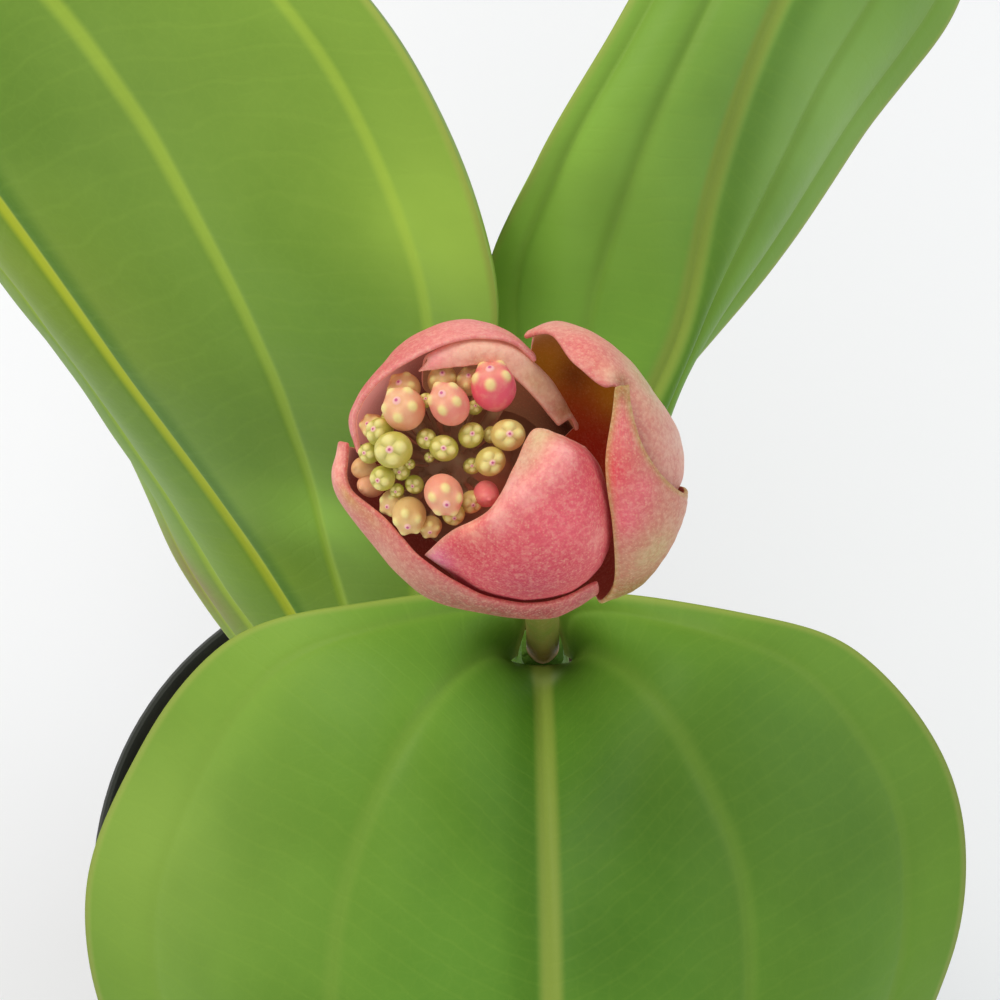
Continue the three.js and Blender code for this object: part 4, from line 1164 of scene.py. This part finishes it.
def addStem():
    chance = random.Random(11)
    bark = stemFinish()
    stem = addTube("stem", stemShape["path"], stemRadiusAt, stemShape["rings"], stemShape["sides"])
    stem.data.materials.append(bark)
    parts = [stem]
    selectNothing()
    thick, thin = stemShape["bristleRadii"]
    bpy.ops.mesh.primitive_cone_add(vertices=6, radius1=thick, radius2=thin, depth=1)
    model = bpy.context.object
    for vertex in model.data.vertices:
        vertex.co.z += 0.5
    for x, y, z in stemShape["nodes"]:
        for k in range(stemShape["bristles"]):
            bristle = copyOf(model)
            angle = 2 * math.pi * (k + chance.uniform(-0.3, 0.3)) / stemShape["bristles"]
            out = Vector((math.cos(angle), math.sin(angle), chance.uniform(-0.3, 0.5))).normalized()
            size = chance.uniform(*stemShape["bristleLength"])
            height = z - stemShape["bristleDrop"] + chance.uniform(-1, 1)
            circle = stemShape["bristleCircle"]
            foot = Vector((x + circle * math.cos(angle), y + circle * math.sin(angle), height))
            turn = out.to_track_quat("Z", "Y").to_matrix().to_4x4()
            bristle.data.transform(Matrix.Translation(foot * mm) @ turn @ Matrix.Scale(size * mm, 4))
            bristle.data.materials.append(bark)
            parts.append(bristle)
    bpy.data.objects.remove(model)
    stem = joinPieces(parts, "stemWood")
    finishPiece(stem, "stem")


def stalkRadiusAt(share, angle, here):
    t = min(1, max(0, (share - stalkShape["swellFrom"]) / stalkShape["swellOver"]))
    swell = t * t * (3 - 2 * t)
    ridges = 1 + stalkShape["ridge"] * math.cos(4 * angle)
    return (stalkShape["radius"] + (stalkShape["topRadius"] - stalkShape["radius"]) * swell) * ridges


def addStalk():
    stalk = addTube("flowerStalk", stalkShape["path"], stalkRadiusAt, stalkShape["rings"],
                    stalkShape["sides"])
    stalk.data.materials.append(stalkFinish())
    finishPiece(stalk, "flower_stalk")


addStem()
addStalk()


# pot
potShape = {
    "segments": 112,
    # radius and height of each ring, from the foot up the outside and down the inside
    "rings": [
        (43.2, 0.0), (44.6, 0.5), (45.2, 1.6), (48.8, 23.0), (59.2, 84.0), (60.0, 85.2), (61.1, 92.0),
        (62.0, 105.2), (62.4, 106.0), (64.8, 106.3), (65.6, 107.0), (65.8, 108.2), (65.8, 112.6),
        (65.5, 114.2), (64.8, 115.0), (64.1, 114.9), (63.4, 114.0), (62.7, 111.5), (60.8, 106.0),
        (58.6, 86.0), (44.2, 3.4), (43.4, 2.2), (42.0, 2.0)],
    "holes": 8,
    "holeRadius": 4,
    "holeCircle": 32,
    "holeSides": 24,
    "drillDepth": 8,  # half of it is above the foot, past the floor's top
    "smoothAngle": 35,
}


def potFinish():
    paint = Paint("potPlastic", Roughness=0.45)
    dust = paint.cloud(30, 5)
    grain = paint.cloud(1400, 2)
    height = paint.split(paint.place(), "Z")
    body = paint.mix(dust, "#14170f", "#23271b")
    body = paint.mix(paint.step(dust + grain * 0.2, 0.55, 0.95) * 0.35, body, "#4a4637")
    body = paint.mix(paint.fade(height, 0.0, 0.012) * 0.25, body, "#5a5344")
    return paint.cover(Base_Color=body, Roughness=0.4 + 0.25 * dust,
                       Normal=paint.bump(grain, 0.00006, 0.5))


def addPot():
    rings = potShape["rings"]
    selectNothing()
    radius, height = rings[0]
    bpy.ops.mesh.primitive_circle_add(vertices=potShape["segments"], radius=radius * mm, fill_type="NGON",
                                      location=(0, 0, height * mm))
    pot = bpy.context.object
    pot.name = "potShell"
    bpy.ops.object.transform_apply(location=True, rotation=False, scale=False)
    editMode()
    for newRadius, newHeight in rings[1:]:
        lift = (0, 0, (newHeight - height) * mm)
        bpy.ops.mesh.extrude_region_move(TRANSFORM_OT_translate={"value": lift})
        grow = newRadius / radius
        bpy.ops.transform.resize(value=(grow, grow, 1), center_override=(0, 0, newHeight * mm))
        radius, height = newRadius, newHeight
    bpy.ops.mesh.select_all(action="SELECT")
    bpy.ops.mesh.normals_make_consistent(inside=False)
    bpy.ops.object.mode_set(mode="OBJECT")

    drills = []
    for k in range(potShape["holes"]):
        angle = 2 * math.pi * k / potShape["holes"]
        circle = potShape["holeCircle"] * mm
        bpy.ops.mesh.primitive_cylinder_add(
            vertices=potShape["holeSides"], radius=potShape["holeRadius"] * mm,
            depth=potShape["drillDepth"] * mm,
            location=(circle * math.cos(angle), circle * math.sin(angle), 0))
        drills.append(bpy.context.object)
    drill = joinPieces(drills, "drill")
    applyModifier(pot, "holes", "BOOLEAN", operation="DIFFERENCE", object=drill)
    bpy.data.objects.remove(drill)

    pot.data.materials.append(potFinish())
    finishPiece(pot, "pot", potShape["smoothAngle"])


addPot()


# soil
soilShape = {
    "top": 103,
    "floor": 2.3,
    "topRadius": 60.4,
    "floorRadius": 43.2,
    "sides": 96,
    "rings": 26,
    "holeRadius": 5.4,
    "holeDepth": 28,
    "relief": 1.6,
    "mound": 3,
    "moundRadius": 22,
    "strewnRadius": 57,  # crumbs, bark and perlite lie within it
    "bitRoughness": 0.5,
    "bitTilt": 0.4,  # radians either way
    "bitRise": 0.15,  # share of its size that a bit's middle is above the soil
    "smoothAngle": 50,
}

# what lies on it: how many, kind for the finish, ball's detail, sizes in mm, stretch
soilBits = [
    {"count": 520, "kind": 0.0, "detail": 1, "size": (0.6, 1.7), "stretch": (1, 0.8, 0.7)},  # crumbs
    {"count": 60, "kind": 0.6, "detail": 2, "size": (1.2, 2.6), "stretch": (1.7, 0.7, 0.35)},  # bark
    {"count": 70, "kind": 1.0, "detail": 2, "size": (0.6, 1.7), "stretch": (1, 0.8, 0.7)},  # perlite
]


def soilHeight(x, y):
    radius = math.hypot(x, y)
    lumps = math.sin(x * 0.31 + 1) * math.cos(y * 0.27) + 0.6 * math.sin(x * 0.8 - y * 0.7)
    rough = noise.fractal(Vector((x, y, 0)) * 0.22, 0.8, 2.1, 4) * 1.2
    mound = soilShape["mound"] * hump(radius, 0, soilShape["moundRadius"])
    return soilShape["top"] + lumps * soilShape["relief"] * 0.6 + mound + rough - 0.3


def soilFinish():
    paint = Paint("pottingSoil", Roughness=0.95)
    kind = paint.attribute("kind")
    patches, grain = paint.cloud(160, 5), paint.cloud(1600, 3)
    body = paint.mix(patches, "#1f150e", "#47331f")
    body = paint.mix(grain * 0.4, body, "#5f4930")
    body = paint.mix(paint.step(kind, 0.3, 0.5), body, paint.mix(grain, "#6a4426", "#9a6c42"))
    body = paint.mix(paint.step(kind, 0.8, 0.95), body, paint.mix(grain, "#cfc9b8", "#ece8dc"))
    return paint.cover(Base_Color=body, Roughness=0.85 + 0.1 * grain,
                       Normal=paint.bump(patches + grain * 0.5, 0.0008, 0.9))


def addSoil():
    chance = random.Random(3)
    finish = soilFinish()
    top, floor = soilShape["top"], soilShape["floor"]
    wide, narrow = soilShape["topRadius"], soilShape["floorRadius"]
    selectNothing()
    bpy.ops.mesh.primitive_cylinder_add(
        vertices=soilShape["sides"], radius=wide * mm, depth=(top - floor) * mm,
        location=(0, 0, (top + floor) / 2 * mm))
    soil = bpy.context.object
    soil.name = "soilBody"
    bpy.ops.object.transform_apply(location=True, rotation=False, scale=False)
    halfWay = (top + floor) / 2 * mm
    for vertex in soil.data.vertices:
        if vertex.co.z < halfWay:
            vertex.co.x *= narrow / wide
            vertex.co.y *= narrow / wide
    clearSelection(soil)
    for face in soil.data.polygons:
        face.select = face.center.z > halfWay and len(face.vertices) > 4
    editMode("FACE")
    width = (wide - soilShape["holeRadius"]) / soilShape["rings"]
    for _ in range(soilShape["rings"]):
        bpy.ops.mesh.inset(thickness=width * mm)
    sink = (0, 0, -soilShape["holeDepth"] * mm)
    bpy.ops.mesh.extrude_region_move(TRANSFORM_OT_translate={"value": sink})
    bpy.ops.object.mode_set(mode="OBJECT")
    for vertex in soil.data.vertices:
        if vertex.co.z > (top - 1) * mm:
            x, y = vertex.co.x / mm, vertex.co.y / mm
            vertex.co.z = soilHeight(x, y) * mm
    addAttribute(soil, "kind", "FLOAT", [0.0] * len(soil.data.vertices))
    soil.data.materials.append(finish)
    parts = [soil]

    models = []
    for index, bits in enumerate(soilBits):
        selectNothing()
        bpy.ops.mesh.primitive_ico_sphere_add(subdivisions=bits["detail"], radius=1)
        model = bpy.context.object
        for vertex in model.data.vertices:
            dents = noise.noise(vertex.co * 1.3 + Vector((index * 7, 0, 0)))
            vertex.co *= 1 + soilShape["bitRoughness"] * dents
        addAttribute(model, "kind", "FLOAT", [bits["kind"]] * len(model.data.vertices))
        model.data.materials.append(finish)
        models.append(model)
    tilt = soilShape["bitTilt"]
    for model, bits in zip(models, soilBits):
        for _ in range(bits["count"]):
            bit = copyOf(model)
            radius = math.sqrt(chance.uniform(0.02, 0.93)) * soilShape["strewnRadius"]
            angle = chance.uniform(0, 2 * math.pi)
            x, y = radius * math.cos(angle), radius * math.sin(angle)
            size = chance.uniform(*bits["size"])
            turn = Matrix.Rotation(chance.uniform(0, 6.3), 4, "Z")
            turn @= Matrix.Rotation(chance.uniform(-tilt, tilt), 4, "X")
            shape = Matrix.Diagonal((*[size * stretch * mm for stretch in bits["stretch"]], 1))
            height = soilHeight(x, y) + size * soilShape["bitRise"]
            place = Matrix.Translation(Vector((x, y, height)) * mm)
            bit.data.transform(place @ turn @ shape)
            parts.append(bit)
    for model in models:
        bpy.data.objects.remove(model)
    soil = joinPieces(parts, "soilBody")
    finishPiece(soil, "soil", soilShape["smoothAngle"])


addSoil()

print("all pieces are in place")
